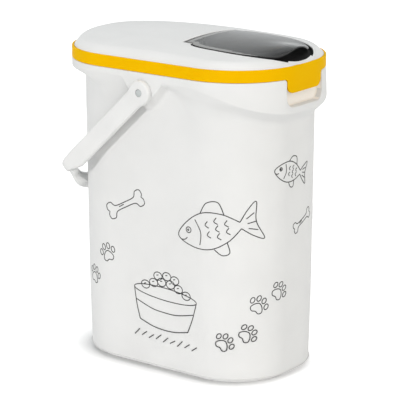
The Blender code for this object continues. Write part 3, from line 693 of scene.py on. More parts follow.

# %% [markdown]
# The two blind bores for the bail's pins are cut in the same way. Then the tub gets its finishes:
# white plastic, a painted warm light inside the pocket, a brighter white that stands in for light
# bouncing off the yellow tab, and painted light on the foot, a white lighter than the tub's that
# lifts the foot out of its shade.

# %% Bores and finishes of the tub
BORE = 0.0028
BORE_END = 0.0821
BORE_MOUTH = 0.1006
for side in (1.0, -1.0):
    bore = [(BORE, side * BORE_END), (BORE, side * BORE_MOUTH)]
    cut(tub, skin("bore_cutter", round_rings(PIVOT.x, PIVOT.z, bore)))


def in_pocket(face):
    c = face.center
    in_front = c.x > POCKET_BACK - 0.0005 and abs(c.y) < POCKET_HALF + FLARE
    return in_front and rim_gap(c.x, c.y) > WALL and POCKET_LOW - 0.0003 < c.z < RIM


def on_foot(face):
    return face.center.z < FOOT_TOP + 0.0002 and rim_gap(face.center.x, face.center.y) < 0.03


settle(tub, tub_white, "bin", "tub_white", "bin_body")
second_finish(tub, pocket_painted_bounce, in_pocket)
second_finish(tub, foot_painted_light, on_foot)

# %% [markdown]
# ## The printed drawing
# The tub carries a thin black line drawing. Here it shows a fish, a bowl of kibble, a bone and a
# trail of paw prints. Each motif is drawn flat in millimetres, as with a pen: a curve runs through
# a few points, and its bevel makes the line a fine tube. The flat drawing is then made a mesh, and
# rolled on to the wall: one coordinate becomes the way round the tub, measured from the middle of
# the pouring end, and the tube is pressed to a film.

# %% Pen strokes
INK_WIDTH = 0.00115
STROKE_STEP = 1.2
sheet = bpy.data.curves.new("line_print", 'CURVE')
sheet.dimensions = '3D'
sheet.bevel_depth = INK_WIDTH / 2
sheet.bevel_resolution = 1
sheet.use_fill_caps = True


def flow(points, closed):
    """A smooth line through the points."""
    count = len(points)
    line = []
    for i in range(count if closed else count - 1):
        if closed:
            a, b, c, d = (points[(i + k) % count] for k in (-1, 0, 1, 2))
        else:
            a, b, c, d = (points[min(count - 1, max(0, i + k))] for k in (-1, 0, 1, 2))
        steps = max(2, int(math.dist(b, c) / STROKE_STEP))
        for j in range(steps):
            t = j / steps
            line.append(tuple(0.5 * (2 * q + (r - p) * t + (2 * p - 5 * q + 4 * r - s) * t ** 2
                                     + (3 * q - p - 3 * r + s) * t ** 3)
                              for p, q, r, s in zip(a, b, c, d)))
    return line if closed else line + [points[-1]]


def pen(points, place, closed=False):
    """Draw one line of a motif at a place: way round, height, tilt in degrees, and scale."""
    way, height, tilt, scale = place
    c = math.cos(math.radians(tilt)) * scale
    s = math.sin(math.radians(tilt)) * scale
    stroke = sheet.splines.new('POLY')
    line = flow(points, closed)
    stroke.points.add(len(line) - 1)
    for point, (x, z) in zip(stroke.points, line):
        point.co = ((way - c * x + s * z) / 1000.0, 0.0, (height + s * x + c * z) / 1000.0, 1.0)
    stroke.use_cyclic_u = closed


def oval(x, z, wide, high):
    return [(x + wide * math.cos(a), z + high * math.sin(a)) for a in full_turn(12)]


print("pen of", INK_WIDTH * 1000, "mm")

# %% Motifs
def draw_fish(place):
    body = [(24, 3), (10, 13), (-8, 17), (-26, 11), (-38, 0), (-26, -11), (-8, -16), (10, -12), (24, -3)]
    pen(body, place)
    pen([(24, 3), (33, 12), (42, 17), (38, 0), (42, -17), (33, -12), (24, -3)], place)
    pen([(-10, 17), (-2, 25), (9, 24), (12, 12)], place)
    pen([(-4, -16.5), (2, -23), (9, -22), (9, -12.5)], place)
    pen([(-17, 12), (-13.5, 0), (-17, -11)], place)
    pen(oval(-26, 3.5, 2.6, 2.6), place, closed=True)
    pen(oval(-26.4, 3.5, 0.7, 0.7), place, closed=True)
    pen([(-36, -4), (-32, -4.6), (-29, -3)], place)
    for x, z in ((-6, 6), (-6, -3), (3, 8), (3, 1), (3, -6), (12, 4), (12, -3)):
        pen([(x + 1.5, z + 3), (x - 1.5, z), (x + 1.5, z - 3)], place)
    for z in (8, 0, -8):
        pen([(30, z * 0.55), (38, z)], place)


def draw_paw(place):
    pad = [(0, 4.6), (4.4, 2.0), (6.6, -2.6), (3.8, -5.4), (0, -4.2), (-3.8, -5.4), (-6.6, -2.6), (-4.4, 2.0)]
    pen(pad, place, closed=True)
    for x, z in ((-8.2, 4.4), (-3.1, 8.8), (3.1, 8.8), (8.2, 4.4)):
        pen(oval(x, z, 2.1, 3.0), place, closed=True)


def draw_bone(place):
    knob = [(13, 3.2), (17.5, 8.2), (23.4, 7.6), (24.6, 2.6), (22.6, 0), (24.6, -2.6), (23.4, -7.6),
            (17.5, -8.2), (13, -3.2)]
    pen(knob + [(0, -2.6)] + [(-x, -z) for x, z in knob] + [(0, 2.6)], place, closed=True)
    pen([(-9, 0.4), (-2, 0.8)], place)


def draw_bowl(place):
    pen(oval(0, 14, 39, 6.5), place, closed=True)
    pen([(-39, 14), (-35, -4), (-30, -19)], place)
    pen([(39, 14), (35, -4), (30, -19)], place)
    pen([(-30, -19), (-14, -23), (0, -24), (14, -23), (30, -19)], place)
    pen([(-36, 1), (-16, -4.5), (0, -5.5), (16, -4.5), (36, 1)], place)
    heap = ((-25, 19), (-15, 23), (-5, 25.5), (6, 25.5), (16, 23), (26, 18.5), (-10, 31), (1, 33), (11, 31))
    for x, z in heap:
        pen(oval(x, z, 5.2, 4.2), place, closed=True)
        pen([(x - 1.8, z + 0.6), (x + 0.6, z + 1.4)], place)
    for i in range(9):
        pen([(-30 + 9 * i, -30 - (i % 3)), (-36 + 9 * i, -37 + (i % 2))], place)


print("motifs: fish, paw, bone, bowl")

# %% Rolling the drawing on to the wall
FILM_LIFT = 0.00004
FILM_PRESS = 0.13
SIDE_MOTIFS = ((draw_fish, 98.0, 166.0, 14.0, 1.18), (draw_bowl, 160.0, 72.0, -3.0, 1.05),
               (draw_bone, 212.0, 176.0, 28.0, 1.05), (draw_paw, 236.0, 116.0, 20.0, 1.1),
               (draw_paw, 262.0, 86.0, -12.0, 1.1))
END_MOTIFS = ((draw_paw, 88.0, 44.0, -38.0, 1.05), (draw_paw, 64.0, 54.0, -52.0, 1.05),
              (draw_paw, 52.0, 84.0, -30.0, 1.05), (draw_paw, 28.0, 96.0, -46.0, 1.05),
              (draw_fish, 10.0, 222.0, -12.0, 0.66), (draw_bone, -12.0, 166.0, 24.0, 0.7))


def wall_spot(way, z, lift):
    """The point that lies this far round the wall from the middle of the pouring end."""
    lean = DRAFT * (TUB_TOP - z)
    corner = TUB_CORNER - lean
    end = HALF_W - COLLAR_STEP - lean - corner
    side = 2.0 * (HALF_L - COLLAR_STEP - lean - corner)
    arc = corner * math.pi / 2
    far = abs(way)
    turn = min(max(far - end, 0.0), arc) / corner
    turn += min(max(far - end - arc - side, 0.0), arc) / corner
    x = side / 2 - min(max(far - end - arc, 0.0), side) + (corner + lift) * math.cos(turn)
    y = min(far, end) + (corner + lift) * math.sin(turn)
    return (x + TUB_SHIFT, -math.copysign(y, way), z)


def print_on_tub(name, motifs, mirror=1.0):
    """Draw the motifs flat, make a mesh of them, and roll it on to the wall."""
    sheet.splines.clear()
    for draw, *place in motifs:
        draw(place)
    piece = bpy.data.objects.new(name, sheet.copy())
    bpy.context.collection.objects.link(piece)
    pick(piece)
    bpy.ops.object.convert(target='MESH')
    piece = bpy.context.object
    for v in piece.data.vertices:
        x, y, z = wall_spot(v.co.x, v.co.z, FILM_LIFT + FILM_PRESS * v.co.y)
        v.co = (x, mirror * y, z)
    outward(piece)
    settle(piece, ink_black, "bin", None)


print_on_tub("line_print_right", SIDE_MOTIFS)
print_on_tub("line_print_left", SIDE_MOTIFS, mirror=-1.0)
print_on_tub("line_print_end", END_MOTIFS)

# %% [markdown]
# ## The lid ring
# The yellow ring is a band that stands flush with the collar, with a shelf inside for the cover, a
# plug that fits the tub's mouth, and a tab that hangs over the pocket at the front. The band's lower
# edge runs into the tab in a small hollow round, and the tab's lower corners are round. Its section
# is a closed chain of rings, so the stack joins back to its first ring.

# %% Lower edge and plug of the ring
TAB_HOLLOW = 0.003
PLUG_LOW = RIM - MOUTH_DEEP
PLUG_GAP = 0.0004


def band_edge(x, y):
    """Height of the ring's lower edge: the band, the round into the tab, and the tab itself."""
    y = abs(y)
    if x < 0.0 or y >= TAB_HALF + TAB_HOLLOW:
        return BAND_LOW
    if y > TAB_HALF:
        return BAND_LOW - TAB_HOLLOW + math.sqrt(TAB_HOLLOW ** 2 - (TAB_HALF + TAB_HOLLOW - y) ** 2)
    over = max(0.0, y - (TAB_HALF - TAB_ROUND))
    return TAB_LOW + TAB_ROUND - math.sqrt(TAB_ROUND ** 2 - over ** 2)


low_edge = [band_edge(x, y) for x, y in RIM_LINE]
plug = [d + PLUG_GAP for d in MOUTH]


def edge_ring(inset, lift):
    return [(*xy, e + lift) for xy, e in zip(lid_line(inset), low_edge)]


def plug_ring(extra, z):
    return inset_each([d + extra for d in plug], z)


print("tab hangs", round((BAND_LOW - min(low_edge)) * 1000, 1), "mm below the band")

# %% Stack of the ring
EDGE_BREAK = 0.0004
TOP_ROUND = 0.0009
SHELF_INSET = 0.0022
SHELF_BREAK = 0.0002
TAB_BACK = 0.0024
LEDGE = BAND_TOP - 0.0035
PLUG_WALL = 0.0036
PLUG_BREAK = 0.0005
GROOVE_DEEP = 0.0016
GROOVE_LOW = PLUG_LOW + 0.0013
GROOVE_TOP = PLUG_LOW + 0.0047
BAND_FOOT = BAND_LOW + 0.0003
rings = [edge_ring(EDGE_BREAK, 0.0), edge_ring(0.0, EDGE_BREAK)]
rings += [at_height(lid_line(inset), BAND_TOP - drop) for inset, drop in round_over(TOP_ROUND, 5)]
rings += [at_height(lid_line(0.0021), BAND_TOP), at_height(lid_line(SHELF_INSET), BAND_TOP - SHELF_BREAK),
          at_height(lid_line(SHELF_INSET), LEDGE)]
plug_section = ((PLUG_WALL, LEDGE), (PLUG_WALL, PLUG_LOW + PLUG_BREAK), (PLUG_WALL - PLUG_BREAK, PLUG_LOW),
                (PLUG_BREAK, PLUG_LOW), (0.0, PLUG_LOW + PLUG_BREAK), (0.0, GROOVE_LOW),
                (GROOVE_DEEP, GROOVE_LOW), (GROOVE_DEEP, GROOVE_TOP), (0.0, GROOVE_TOP), (0.0, BAND_FOOT))
rings += [plug_ring(extra, z) for extra, z in plug_section]
rings += [at_height(lid_line(TAB_BACK), BAND_FOOT), edge_ring(TAB_BACK, SHELF_BREAK),
          edge_ring(SHELF_INSET, 0.0)]
ring_piece = skin("lid_ring_band", rings, closed=True)
settle(ring_piece, ring_yellow, "lid", "ring_yellow", "lid_ring")

# %% [markdown]
# A soft seal sits in the groove of the plug and touches the tub's mouth. It is hidden while the lid
# is on, and shows when the lid lifts. Its section is a small oval of ten points.

# %% Lid seal
SEAL_SIZE = 0.0014
SEAL_GAP = 0.0003
SEAL_MID = PLUG_LOW + 0.0030


def seal_ring(turn):
    lift = SEAL_SIZE * math.sin(turn)
    swell = 0.5 - 0.5 * math.cos(turn)
    return inset_each([m + SEAL_GAP + SEAL_SIZE * swell for m in MOUTH], SEAL_MID + lift)


seal = skin("lid_seal_bead", [seal_ring(turn) for turn in full_turn(10)], closed=True)
settle(seal, seal_grey, "lid", "seal_grey", "lid_seal")

# %% [markdown]
# ## The dome
# The cover is a shallow dome with a quick round shoulder. One formula gives its height, and the
# cover, the flap and the finger well all read it, so they stay parallel. The dome falls a little to
# both sides and to the rear, and more steeply at the pouring end.

# %% Height of the dome
SHOULDER = 0.013
START = 0.0025
DOME_HIGH = 0.017
SIDE_FALL = 0.0075
REAR_FALL = 0.006
FRONT_LEAN = 0.002
FRONT_FALL = 0.0095
SEAT_DEEP = 0.0044
SEAT_LOWEST = BAND_TOP - 0.0008


def dome(x, y):
    t = abs(x) / (HALF_L - SHOULDER / 2)
    along = FRONT_LEAN * t + FRONT_FALL * t ** 5 if x > 0.0 else REAR_FALL * t ** 2.5
    top = DOME_HIGH - SIDE_FALL * (y / (HALF_W - SHOULDER)) ** 2 - along
    u = min(1.0, max(0.0, (rim_gap(x, y) - START) / (SHOULDER - START)))
    return BAND_TOP + top * (1.0 - (1.0 - u) ** 2)


def seat(x, y):
    return max(dome(x, y) - SEAT_DEEP, SEAT_LOWEST)


print("dome is", round((dome(0.0, 0.0) - BAND_TOP) * 1000, 1), "mm high in the middle")

# %% [markdown]
# ## The cover
# The cover is a sheet, so it is skinned as one: up its skirt, over the shoulder, in across the dome
# to the edge of the flap's recess, down the recess wall, in over the seat, and down through the pour
# opening. The recess lies near the front, so every ring is read along lines from the flap's middle:
# a line meets the lid's edge, the recess and the opening, and the points on it share one number.
# Solidify then gives the sheet its thickness.

# %% Outlines of the recess and the opening
FLAP_MID = 0.065
FLAP_HALF = 0.0525
EAR = 0.043
EAR_REAR = 0.0268
POWER = 2.6
FRONT_POWER = 2.38
LIP_HALF = 0.0405
REAR_STEPS = 14
EAR_STEPS = 6
SIDE_TURN = 12
FRONT_TURN = 40


def recess_points(rear, front, grow, power):
    """One outline of the flap or its recess: rear edge, ear step, side and front, then mirrored."""
    half = FLAP_HALF + grow
    ear = EAR + grow
    back = FLAP_MID - EAR_REAR + grow
    pts = [(rear, ear * i / REAR_STEPS) for i in range(REAR_STEPS + 1)]
    pts += [(rear + (FLAP_MID - back - rear) * i / EAR_STEPS, ear) for i in range(1, EAR_STEPS)]
    for a in quarter(SIDE_TURN):
        pts.append((FLAP_MID - back * math.cos(a) ** (2.0 / POWER),
                    ear + (half - ear) * math.sin(a) ** (2.0 / POWER)))
    for a in quarter(FRONT_TURN)[1:]:
        pts.append((FLAP_MID + front * math.sin(a) ** (2.0 / power),
                    half * math.cos(a) ** (2.0 / power)))
    mirrored = [(x, -y) for x, y in reversed(pts[1:-1])]
    return pts + mirrored


recess = recess_points(0.0138, 0.0684, 0.0012, FRONT_POWER)
print("recess outline of", len(recess), "points")

# %% Lines from the flap's middle
CENTRE = (0.069, 0.0)
OPEN_LONG = 0.039
OPEN_WIDE = 0.043
OPEN_POWER = 3
LEDGE_WIDE = 0.0045
FURTHEST = 0.25


def along_ray(toward, meets):
    """The furthest point on the ray from the centre through toward where meets is still true."""
    dx = toward[0] - CENTRE[0]
    dy = toward[1] - CENTRE[1]
    size = math.hypot(dx, dy)
    low = 0.0
    high = FURTHEST
    for _ in range(40):
        mid = (low + high) / 2
        if meets(CENTRE[0] + dx / size * mid, CENTRE[1] + dy / size * mid):
            low = mid
        else:
            high = mid
    return CENTRE[0] + dx / size * low, CENTRE[1] + dy / size * low


def in_opening(x, y, grow=0.0):
    along = abs(x - CENTRE[0]) / (OPEN_LONG + grow)
    return along ** OPEN_POWER + (abs(y) / (OPEN_WIDE + grow)) ** OPEN_POWER < 1.0


skirt = [along_ray(p, lambda x, y: rim_gap(x, y) > START) for p in recess]
opening = [along_ray(p, in_opening) for p in recess]
ledge = [along_ray(p, lambda x, y: in_opening(x, y, LEDGE_WIDE)) for p in recess]
print("pour opening", round(max(y for _, y in opening) * 2000, 1), "mm wide")

# %% Laying outlines on a surface
def between(p, q, t):
    return p[0] + (q[0] - p[0]) * t, p[1] + (q[1] - p[1]) * t


def mix(a, b, t):
    return [between(p, q, t) for p, q in zip(a, b)]


def inward(a, b, share, most):
    """Points part of the way from a to b, but no further than the given distance."""
    return [between(p, q, min(share, most / math.dist(p, q))) for p, q in zip(a, b)]


def lay(line, height, drop=0.0):
    """Set a flat outline on a surface, or this far below it."""
    return [(x, y, height(x, y) - drop) for x, y in line]


def lay_as(line, model, height, drop=0.0):
    """Set a flat outline at the heights that another outline has."""
    return [(x, y, height(*p) - drop) for (x, y), p in zip(line, model)]


print("skirt starts", round(dome(*skirt[0]) - BAND_TOP, 4), "m above the ring")

# %% Stack of the cover
HINGE = Vector((0.0195, 0.0, 0.347267))
HINGE_ROOM = 0.0026
TROUGH_END = 0.0245
SHOULDER_WIDE = 0.0125
LIP_ROUND = 0.0006
LIP_STEP = 0.00018
SEAT_BREAK = 0.0005
OPENING_DEEP = 0.0045


def hinge_floor(x, y):
    """The seat, sunk behind the ears so that the flap's hinge has room."""
    if x < TROUGH_END and abs(y) < EAR + 0.001:
        return min(seat(x, y), HINGE.z - HINGE_ROOM)
    return seat(x, y)


rings = [at_height(skirt, BAND_TOP - 0.0032), at_height(skirt, BAND_TOP - 0.0004)]
shoulder = inward(skirt, recess, 0.62, SHOULDER_WIDE)
for t in (0.0, 0.03, 0.08, 0.15, 0.24, 0.34, 0.46, 0.6, 0.74, 0.88, 1.0):
    rings.append(lay(mix(skirt, shoulder, t), dome))
for i in range(1, 25):
    rings.append(lay(mix(shoulder, recess, i / 25), dome))
rings.append(lay(inward(recess, skirt, 0.25, LIP_ROUND), dome))
rings.append(lay(inward(recess, skirt, 0.08, LIP_STEP), dome, LIP_STEP))
rings.append(lay(recess, dome, LIP_ROUND))
rings.append(lay(recess, hinge_floor, -SEAT_BREAK))
inner = inward(recess, ledge, 0.2, SEAT_BREAK)
rings.append(lay_as(inner, recess, hinge_floor))
for t in (0.35, 0.7, 0.9, 1.0):
    rings.append(lay(mix(inner, ledge, t), hinge_floor))
rings.append(lay(mix(opening, ledge, 0.12), seat))
rings += [lay(opening, seat, SEAT_BREAK), lay(opening, seat, OPENING_DEEP)]
cover = skin("cover_dome", rings)
print("cover sheet of", len(rings), "rings")

# %% [markdown]
# The stack was capped at both ends. A sheet has no caps, so those two faces go, and the thickness is
# added on the inside. The strip of recess behind the hinge is painted dark grey: painted shade, for
# the shaded gap that shows as a dark line at the rear of the flap.

# %% Thickness and finishes of the cover
pick(cover)
bpy.ops.object.mode_set(mode='EDIT')
bm = bmesh.from_edit_mesh(cover.data)
bpy.ops.mesh.select_mode(type='FACE')
bpy.ops.mesh.select_all(action='DESELECT')
for face in bm.faces:
    face.select_set(len(face.verts) > 4)
bmesh.update_edit_mesh(cover.data)
bpy.ops.mesh.delete(type='FACE')
outward(cover)
up = sum(p.normal.z * p.area for p in cover.data.polygons)
use_modifier(cover, 'SOLIDIFY', thickness=0.0021, offset=-1.0 if up > 0.0 else 1.0)


def behind_hinge(face):
    c = face.center
    sunk = dome(c.x, c.y) - c.z > 0.0004
    in_strip = 0.0132 < c.x < 0.0200 and abs(c.y) < EAR + 0.0015
    return sunk and in_strip and max(face.normal.z, face.normal.x) > 0.5


settle(cover, cover_white, "lid", "cover_white", "lid_cover")
second_finish(cover, hinge_painted_shade, behind_hinge)

# %% [markdown]
# ## The finger well
# Under the flap's lip the recess is black, and a thin black dish lies there. It is a grid whose
# points are set on the dome's seat, given a thickness, with soft edges.

# %% Finger well
WELL_REACH = 0.068
WELL_LONG = 0.022
WELL_TAPER = 0.004
WELL_GAP = 0.0008
WELL_LIFT = 0.0016


def flap_front(y, reach, grow):
    t = min(1.0, abs(y) / (FLAP_HALF + grow))
    return FLAP_MID + reach * (1.0 - t ** FRONT_POWER) ** (1.0 / FRONT_POWER)


deselect()
bpy.ops.mesh.primitive_grid_add(x_subdivisions=14, y_subdivisions=40, size=2.0)
well = bpy.context.object
well.name = "finger_well_dish"
well.data.name = well.name
for v in well.data.vertices:
    y = LIP_HALF * v.co.y
    end = flap_front(y, WELL_REACH, WELL_GAP) - WELL_GAP
    start = end - WELL_LONG + WELL_TAPER * abs(v.co.y)
    x = start + (end - start) * (v.co.x + 1.0) / 2
    v.co = (x, y, seat(x, y) + WELL_LIFT)
use_modifier(well, 'SOLIDIFY', thickness=0.001, offset=-1.0)
use_modifier(well, 'BEVEL', width=0.0003, segments=2, limit_method='ANGLE')
settle(well, well_black, "lid", "well_black", "finger_well")

# %% [markdown]
# ## The pour flap
# The flap is a thin smoky plate that lies in the recess, flush with the dome, and its front edge
# swells up into a lip. The outline is skinned from the middle of the underside, out, round the edge,
# and back to the middle of the top, so that the plate is one closed skin with a rounded rim. Its
# border, painted light for the ledge that shows through, narrows towards the front, and its upright
# edge is painted black as shade.

# %% Heights of the flap
PROUD = 0.0005
FLAP_REAR = 0.018
FLAP_THICK = 0.0022
REAR_THICK = 0.0012
REAR_RUN = 0.006
LIP_THIN = 0.0014
LIP_TOP = BAND_TOP + 0.0155


def lip_share(x, y):
    return fade(x, 0.064, 0.054) * math.cos(math.pi / 2 * min(1.0, abs(y) / LIP_HALF)) ** 2


def flap_top(x, y):
    lift = max(0.0, LIP_TOP - dome(x, 0.0))
    return dome(x, y) + PROUD + lift * lip_share(x, y)


def flap_low(x, y):
    share = max(0.0, 1.0 - (x - FLAP_REAR) / REAR_RUN) if abs(y) <= EAR else 0.0
    return flap_top(x, y) - PROUD - FLAP_THICK - REAR_THICK * share + LIP_THIN * lip_share(x, y)


plan = recess_points(FLAP_REAR, 0.0638, -0.0004, FRONT_POWER - 0.15)
middle = [(0.072, 0.0)] * len(plan)
print("lip stands", round((flap_top(0.129, 0.0) - BAND_TOP) * 1000, 1), "mm above the ring")

# %% Stack of the flap
SHARES = (0.04, 0.14, 0.26, 0.38, 0.5, 0.6, 0.7, 0.78, 0.85, 0.9, 0.94, 0.97)
BORDER = SHARES.index(0.9)
BORDER_NARROWS = 0.070
BORDER_STEP = 0.010
BORDER_END = 0.106
rings = [lay(mix(middle, plan, t), flap_low) for t in SHARES]
for inset, drop in reversed(round_over(0.0003, 3)):
    rings.append(lay_as(inward(plan, middle, 0.5, inset), plan, flap_low, -drop))
for inset, drop in round_over(0.0005, 4):
    rings.append(lay_as(inward(plan, middle, 0.5, inset), plan, flap_top, drop))
rings += [lay(mix(middle, plan, t), flap_top) for t in reversed(SHARES)]
flap_rings = len(rings)
flap = skin("pour_flap_plate", rings)


def on_edge(face):
    return abs(face.normal.z) < 0.45 and face.center.x > 0.03


def on_border(face):
    ring = min(face.vertices) // len(plan)
    from_rim = min(ring, flap_rings - 2 - ring)
    narrower = int(max(0.0, (face.center.x - BORDER_NARROWS) / BORDER_STEP))
    return not on_edge(face) and from_rim >= BORDER + narrower and face.center.x < BORDER_END


settle(flap, flap_smoke, "flap", "flap_smoke", "pour_flap", smooth=50.0)
# Painted shade on the upright edge, and painted light on the border for the ledge seen through the plate.
second_finish(flap, flap_edge_painted_shade, on_edge)
second_finish(flap, flap_border_painted_light, on_border)

# %% [markdown]
# A thin black strip lines the recess wall from one ear to the other: painted shade, for the shaded
# gap that shows as the dark line between the flap and the cover. It widens towards the front, where
# that gap does. Its path is the recess outline, and its section is a small upright oblong.

# %% Painted shade strip in the recess
GAP_SHADE_SUNK = 0.0007
GAP_SHADE_HIGH = 0.0014
GAP_SHADE_THIN = 0.00055
GAP_SHADE_SWELL = 0.0012
EAR_POINTS = REAR_STEPS + EAR_STEPS


def gap_shade_ring(i):
    before = recess[i - 1]
    after = recess[(i + 1) % len(recess)]
    x, y = recess[i]
    size = math.dist(before, after)
    nx = (before[1] - after[1]) / size
    ny = (after[0] - before[0]) / size
    top = dome(x, y) - GAP_SHADE_SUNK
    low = top - GAP_SHADE_HIGH
    wide = GAP_SHADE_THIN + GAP_SHADE_SWELL * fade(x, 0.07, 0.04)
    section = [(0.0, low), (wide, low), (wide, top - 0.0002), (wide - 0.00015, top), (0.0, top)]
    return [(x - nx * d, y - ny * d, z) for d, z in section]


gap_shade = skin("recess_gap_shade", [gap_shade_ring(i) for i in range(EAR_POINTS, len(recess) - EAR_POINTS + 1)])
# The strip's black is painted shade for the gap.
settle(gap_shade, well_black, "lid", "well_black")

# %% [markdown]
# Two stubs at the flap's rear corners are its hinge pins, and a dark bead under the flap runs round
# the pour opening. The bead keeps the food fresh. It is skinned like a ring: a small rounded
# section that follows the opening.

# %% Hinge stubs and the bead
STUB = 0.0011
for side, tag in ((1.0, "left"), (-1.0, "right")):
    profile = [(STUB, side * 0.0424), (STUB, side * 0.0467), (STUB - 0.0003, side * 0.0470)]
    stub = skin("flap_stub_" + tag, round_rings(HINGE.x, HINGE.z, profile, 20))
    settle(stub, flap_smoke, "flap", "flap_smoke")


def bead_ring(turn):
    grow = 0.0025 - 0.0013 * math.cos(turn)
    line = [along_ray(p, lambda x, y: in_opening(x, y, grow)) for p in recess]
    ring = []
    for x, y in line:
        high = flap_top(x, y) - PROUD - FLAP_THICK - 0.0005
        low = seat(x, y) + 0.0005
        ring.append((x, y, (high + low) / 2 + (high - low) / 2 * math.sin(turn)))
    return ring


bead = skin("flap_bead", [bead_ring(turn) for turn in full_turn(10)], closed=True)
settle(bead, bead_dark, "flap", "bead_dark", "flap_seal")

# %% [markdown]
# ## The bail
# The bail is a channel-section strip: a flat arm from each hub, a shoulder that turns in, and an
# arched grip that is deeper and rounder. A channel is stiff and light, and it moulds without sink
# marks. It is skinned from one hub to the other: the section is a ring of points, and at each
# station along the path it is set to the size that the bail has there.

# %% Path of the bail
REST = math.radians(43.4)
ARM_DEEP = 0.005
ARM_OUT = HALF_W + 0.0004 + ARM_DEEP
GRIP_DEEP = 0.011
GRIP_TOP = 0.1806 + GRIP_DEEP
GRIP_RADIUS = HALF_W - 0.0101
GRIP_START = math.radians(38.0)
GRIP_FULL = math.radians(47.0)
GRIP_STEPS = 28
KNEE = (GRIP_TOP - 0.0495, ARM_OUT)
KNEE_ROUND = 0.014
NECK_LEAN = math.radians(13.0)
NECK_ROUND = 0.008
TAPER = 0.026


def corner_round(before, corner, after, radius, steps):
    """Points and headings of the arc that rounds a corner of the path."""
    h0 = math.atan2(corner[1] - before[1], corner[0] - before[0])
    h1 = math.atan2(after[1] - corner[1], after[0] - corner[0])
    turn = h1 - h0
    back = radius * math.tan(abs(turn) / 2)
    sign = math.copysign(1.0, turn)
    cx = corner[0] - back * math.cos(h0) - sign * radius * math.sin(h0)
    cy = corner[1] - back * math.sin(h0) + sign * radius * math.cos(h0)
    heads = [h0 + turn * i / steps for i in range(steps + 1)]
    return [(cx + sign * radius * math.sin(h), cy - sign * radius * math.cos(h), h) for h in heads]


def bail_path():
    """Stations on the outer face from a hub to mid-span: reach, side, heading and stage."""
    mid = GRIP_TOP - GRIP_RADIUS
    entry = (mid + GRIP_RADIUS * math.sin(GRIP_START), GRIP_RADIUS * math.cos(GRIP_START))
    run = (math.cos(GRIP_START), -math.sin(GRIP_START))
    lead = (math.sin(NECK_LEAN), -math.cos(NECK_LEAN))
    k = ((entry[0] - KNEE[0]) * run[1] - (entry[1] - KNEE[1]) * run[0])
    k /= lead[0] * run[1] - lead[1] * run[0]
    neck = (KNEE[0] + k * lead[0], KNEE[1] + k * lead[1])
    bend = corner_round((0.0, ARM_OUT), KNEE, neck, KNEE_ROUND, 14)
    taper = KNEE[0] - TAPER
    arm = [(u, ARM_OUT, 0.0) for u in (0.03, 0.06, 0.08)]
    arm += [(taper + (bend[0][0] - taper) * i / 6, ARM_OUT, 0.0) for i in range(6)]
    path = [(u, s, h, fade(u, taper, TAPER)) for u, s, h in arm + bend]
    path += [(u, s, h, 1.0) for u, s, h in corner_round(KNEE, neck, entry, NECK_ROUND, 10)]
    for i in range(GRIP_STEPS + 1):
        a = GRIP_START + (math.pi / 2 - GRIP_START) * i / GRIP_STEPS
        path.append((mid + GRIP_RADIUS * math.sin(a), GRIP_RADIUS * math.cos(a), -a,
                     1.0 + fade(a, GRIP_START, GRIP_FULL - GRIP_START)))
    return path


print("bail path of", len(bail_path()), "stations to mid-span")

# %% Section of the bail
WEB = 0.0022
BEND = quarter(7)
ARM_HALF = 0.0104
# Width, depth, offset and corner of the arm, the neck and the grip.
STAGES = ((2 * ARM_HALF, ARM_DEEP, 0.0, 0.0026), (0.0115, ARM_DEEP, -0.0032, 0.0026),
          (0.0172, GRIP_DEEP, 0.0030, 0.0078))


def bail_section(stage, half=None, hollow=1.0):
    """The channel at a stage of the path; hollow is how deep the channel is, as a share."""
    low = 0 if stage <= 1.0 else 1
    width, deep, mid, corner = (p + (q - p) * (stage - low) for p, q in zip(STAGES[low], STAGES[low + 1]))
    half = width / 2 if half is None else half
    walls = []
    for inset in (0.0, WEB):
        radius = max(corner - inset, WEB - inset + 0.0006)
        edge = [(inset - half, deep)]
        edge += [(inset - half + radius * (1.0 - math.cos(a)), inset + radius * (1.0 - math.sin(a)))
                 for a in BEND]
        if inset:
            edge = [(n, deep - (deep - d) * hollow) for n, d in edge]
        walls.append(edge + [(-n, d) for n, d in reversed(edge)])
    return [(mid + n, d) for n, d in walls[0] + walls[1][::-1]]


print("section of", len(bail_section(0.0)), "points")

# %% Hub end of the bail
HUB = 0.013
HUB_ROUND = 0.0022
HUB_BACK = 0.8


def hub_section(u):
    """Section of the round hub at u, from its far side (-HUB) to its middle (0)."""
    away = abs(u)
    edge = [(math.sqrt(max(0.0, HUB ** 2 - away ** 2)), ARM_DEEP)]
    for a in BEND:
        reach = HUB - HUB_ROUND * (1.0 - math.cos(a))
        deep = HUB_ROUND * (1.0 - math.sin(a))
        if reach <= away:
            c = 1.0 - (HUB - away) / HUB_ROUND
            deep = HUB_ROUND * (1.0 - math.sqrt(max(0.0, 1.0 - c * c)))
        edge.append((math.sqrt(max(0.0, reach ** 2 - away ** 2)), deep))
    outer = [(-n, d) for n, d in edge] + list(reversed(edge))
    inner = [(n * HUB_BACK, ARM_DEEP) for n, _ in outer]
    return outer + inner[::-1]


def hub_stations():
    """Hub and the first part of the arm: pairs of reach and section."""
    out = []
    for deg in (86.0, 76.0, 66.0, 56.0, 46.0, 36.0, 26.0, 16.0, 8.0, 0.0):
        u = -HUB * math.sin(math.radians(deg))
        out.append((u, hub_section(u)))
    for u in (0.003, 0.006, 0.009, 0.012, 0.015, 0.018, 0.021):
        half = ARM_HALF + (HUB - ARM_HALF) * (1.0 - fade(u, 0.0, 0.015))
        out.append((u, bail_section(0.0, half, fade(u, 0.0125, 0.007))))
    return out


print("hub has", len(hub_stations()), "stations")

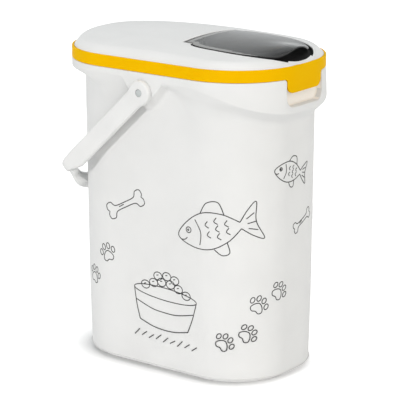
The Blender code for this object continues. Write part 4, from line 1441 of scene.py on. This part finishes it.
# %% Stack of the bail
GRIP_FILL = 0.7
HEAD_DEEP = 0.0018
HEAD_GAP = 0.0003


def bail_point(reach, side, n):
    return (PIVOT.x - reach * math.cos(REST) + n * math.sin(REST), side,
            PIVOT.z - reach * math.sin(REST) - n * math.cos(REST))


half_bail = [(u, ARM_OUT, 0.0, section) for u, section in hub_stations()]
half_bail += [(u, s, h, bail_section(stage, None, 1.0 - GRIP_FILL * max(0.0, stage - 1.0)))
              for u, s, h, stage in bail_path()]
whole = half_bail + [(u, -s, -math.pi - h, sec) for u, s, h, sec in reversed(half_bail[:-1])]
rings = []
for u, s, h, section in whole:
    rings.append([bail_point(u + d * math.sin(h), s - d * math.cos(h), n) for n, d in section])
bail = skin("bail_strip", rings)
for side in (1.0, -1.0):
    profile = [(BORE, 0.0895), (BORE, ARM_OUT - HEAD_DEEP), (0.0040, ARM_OUT - HEAD_DEEP),
               (0.0040, ARM_OUT - HEAD_GAP), (0.0045, ARM_OUT + 0.0002), (0.0045, ARM_OUT + 0.004)]
    cut(bail, skin("pin_cutter", round_rings(PIVOT.x, PIVOT.z, [(r, side * y) for r, y in profile])))
settle(bail, bail_white, "bail", "bail_white", "bail_handle", smooth=40.0)

# %% [markdown]
# ## The pivot pins
# Each hub turns on a grey pin that is pressed into the lug. Only its head shows, a small domed disc
# just below the hub's face. The profile is skinned in rings about the pivot's line.

# %% Pins
PIN = 0.0025
PIN_END = 0.0824
PIN_HEAD = 0.0037
face = ARM_OUT - HEAD_GAP
profile = [(PIN, PIN_END), (PIN, face - 0.0012), (PIN_HEAD, face - 0.0012), (PIN_HEAD, face - 0.0004),
           (0.0034, face - 0.0001), (0.0026, face), (0.0014, face + 0.0001), (0.0004, face + 0.00012)]
for side, tag in ((1.0, "left"), (-1.0, "right")):
    pin = skin("pin_" + tag, round_rings(PIVOT.x, PIVOT.z, [(r, side * y) for r, y in profile]))
    settle(pin, pin_grey, "bin", "pin_grey", "handle_pin_" + tag)

# %% Clear the selection
deselect()
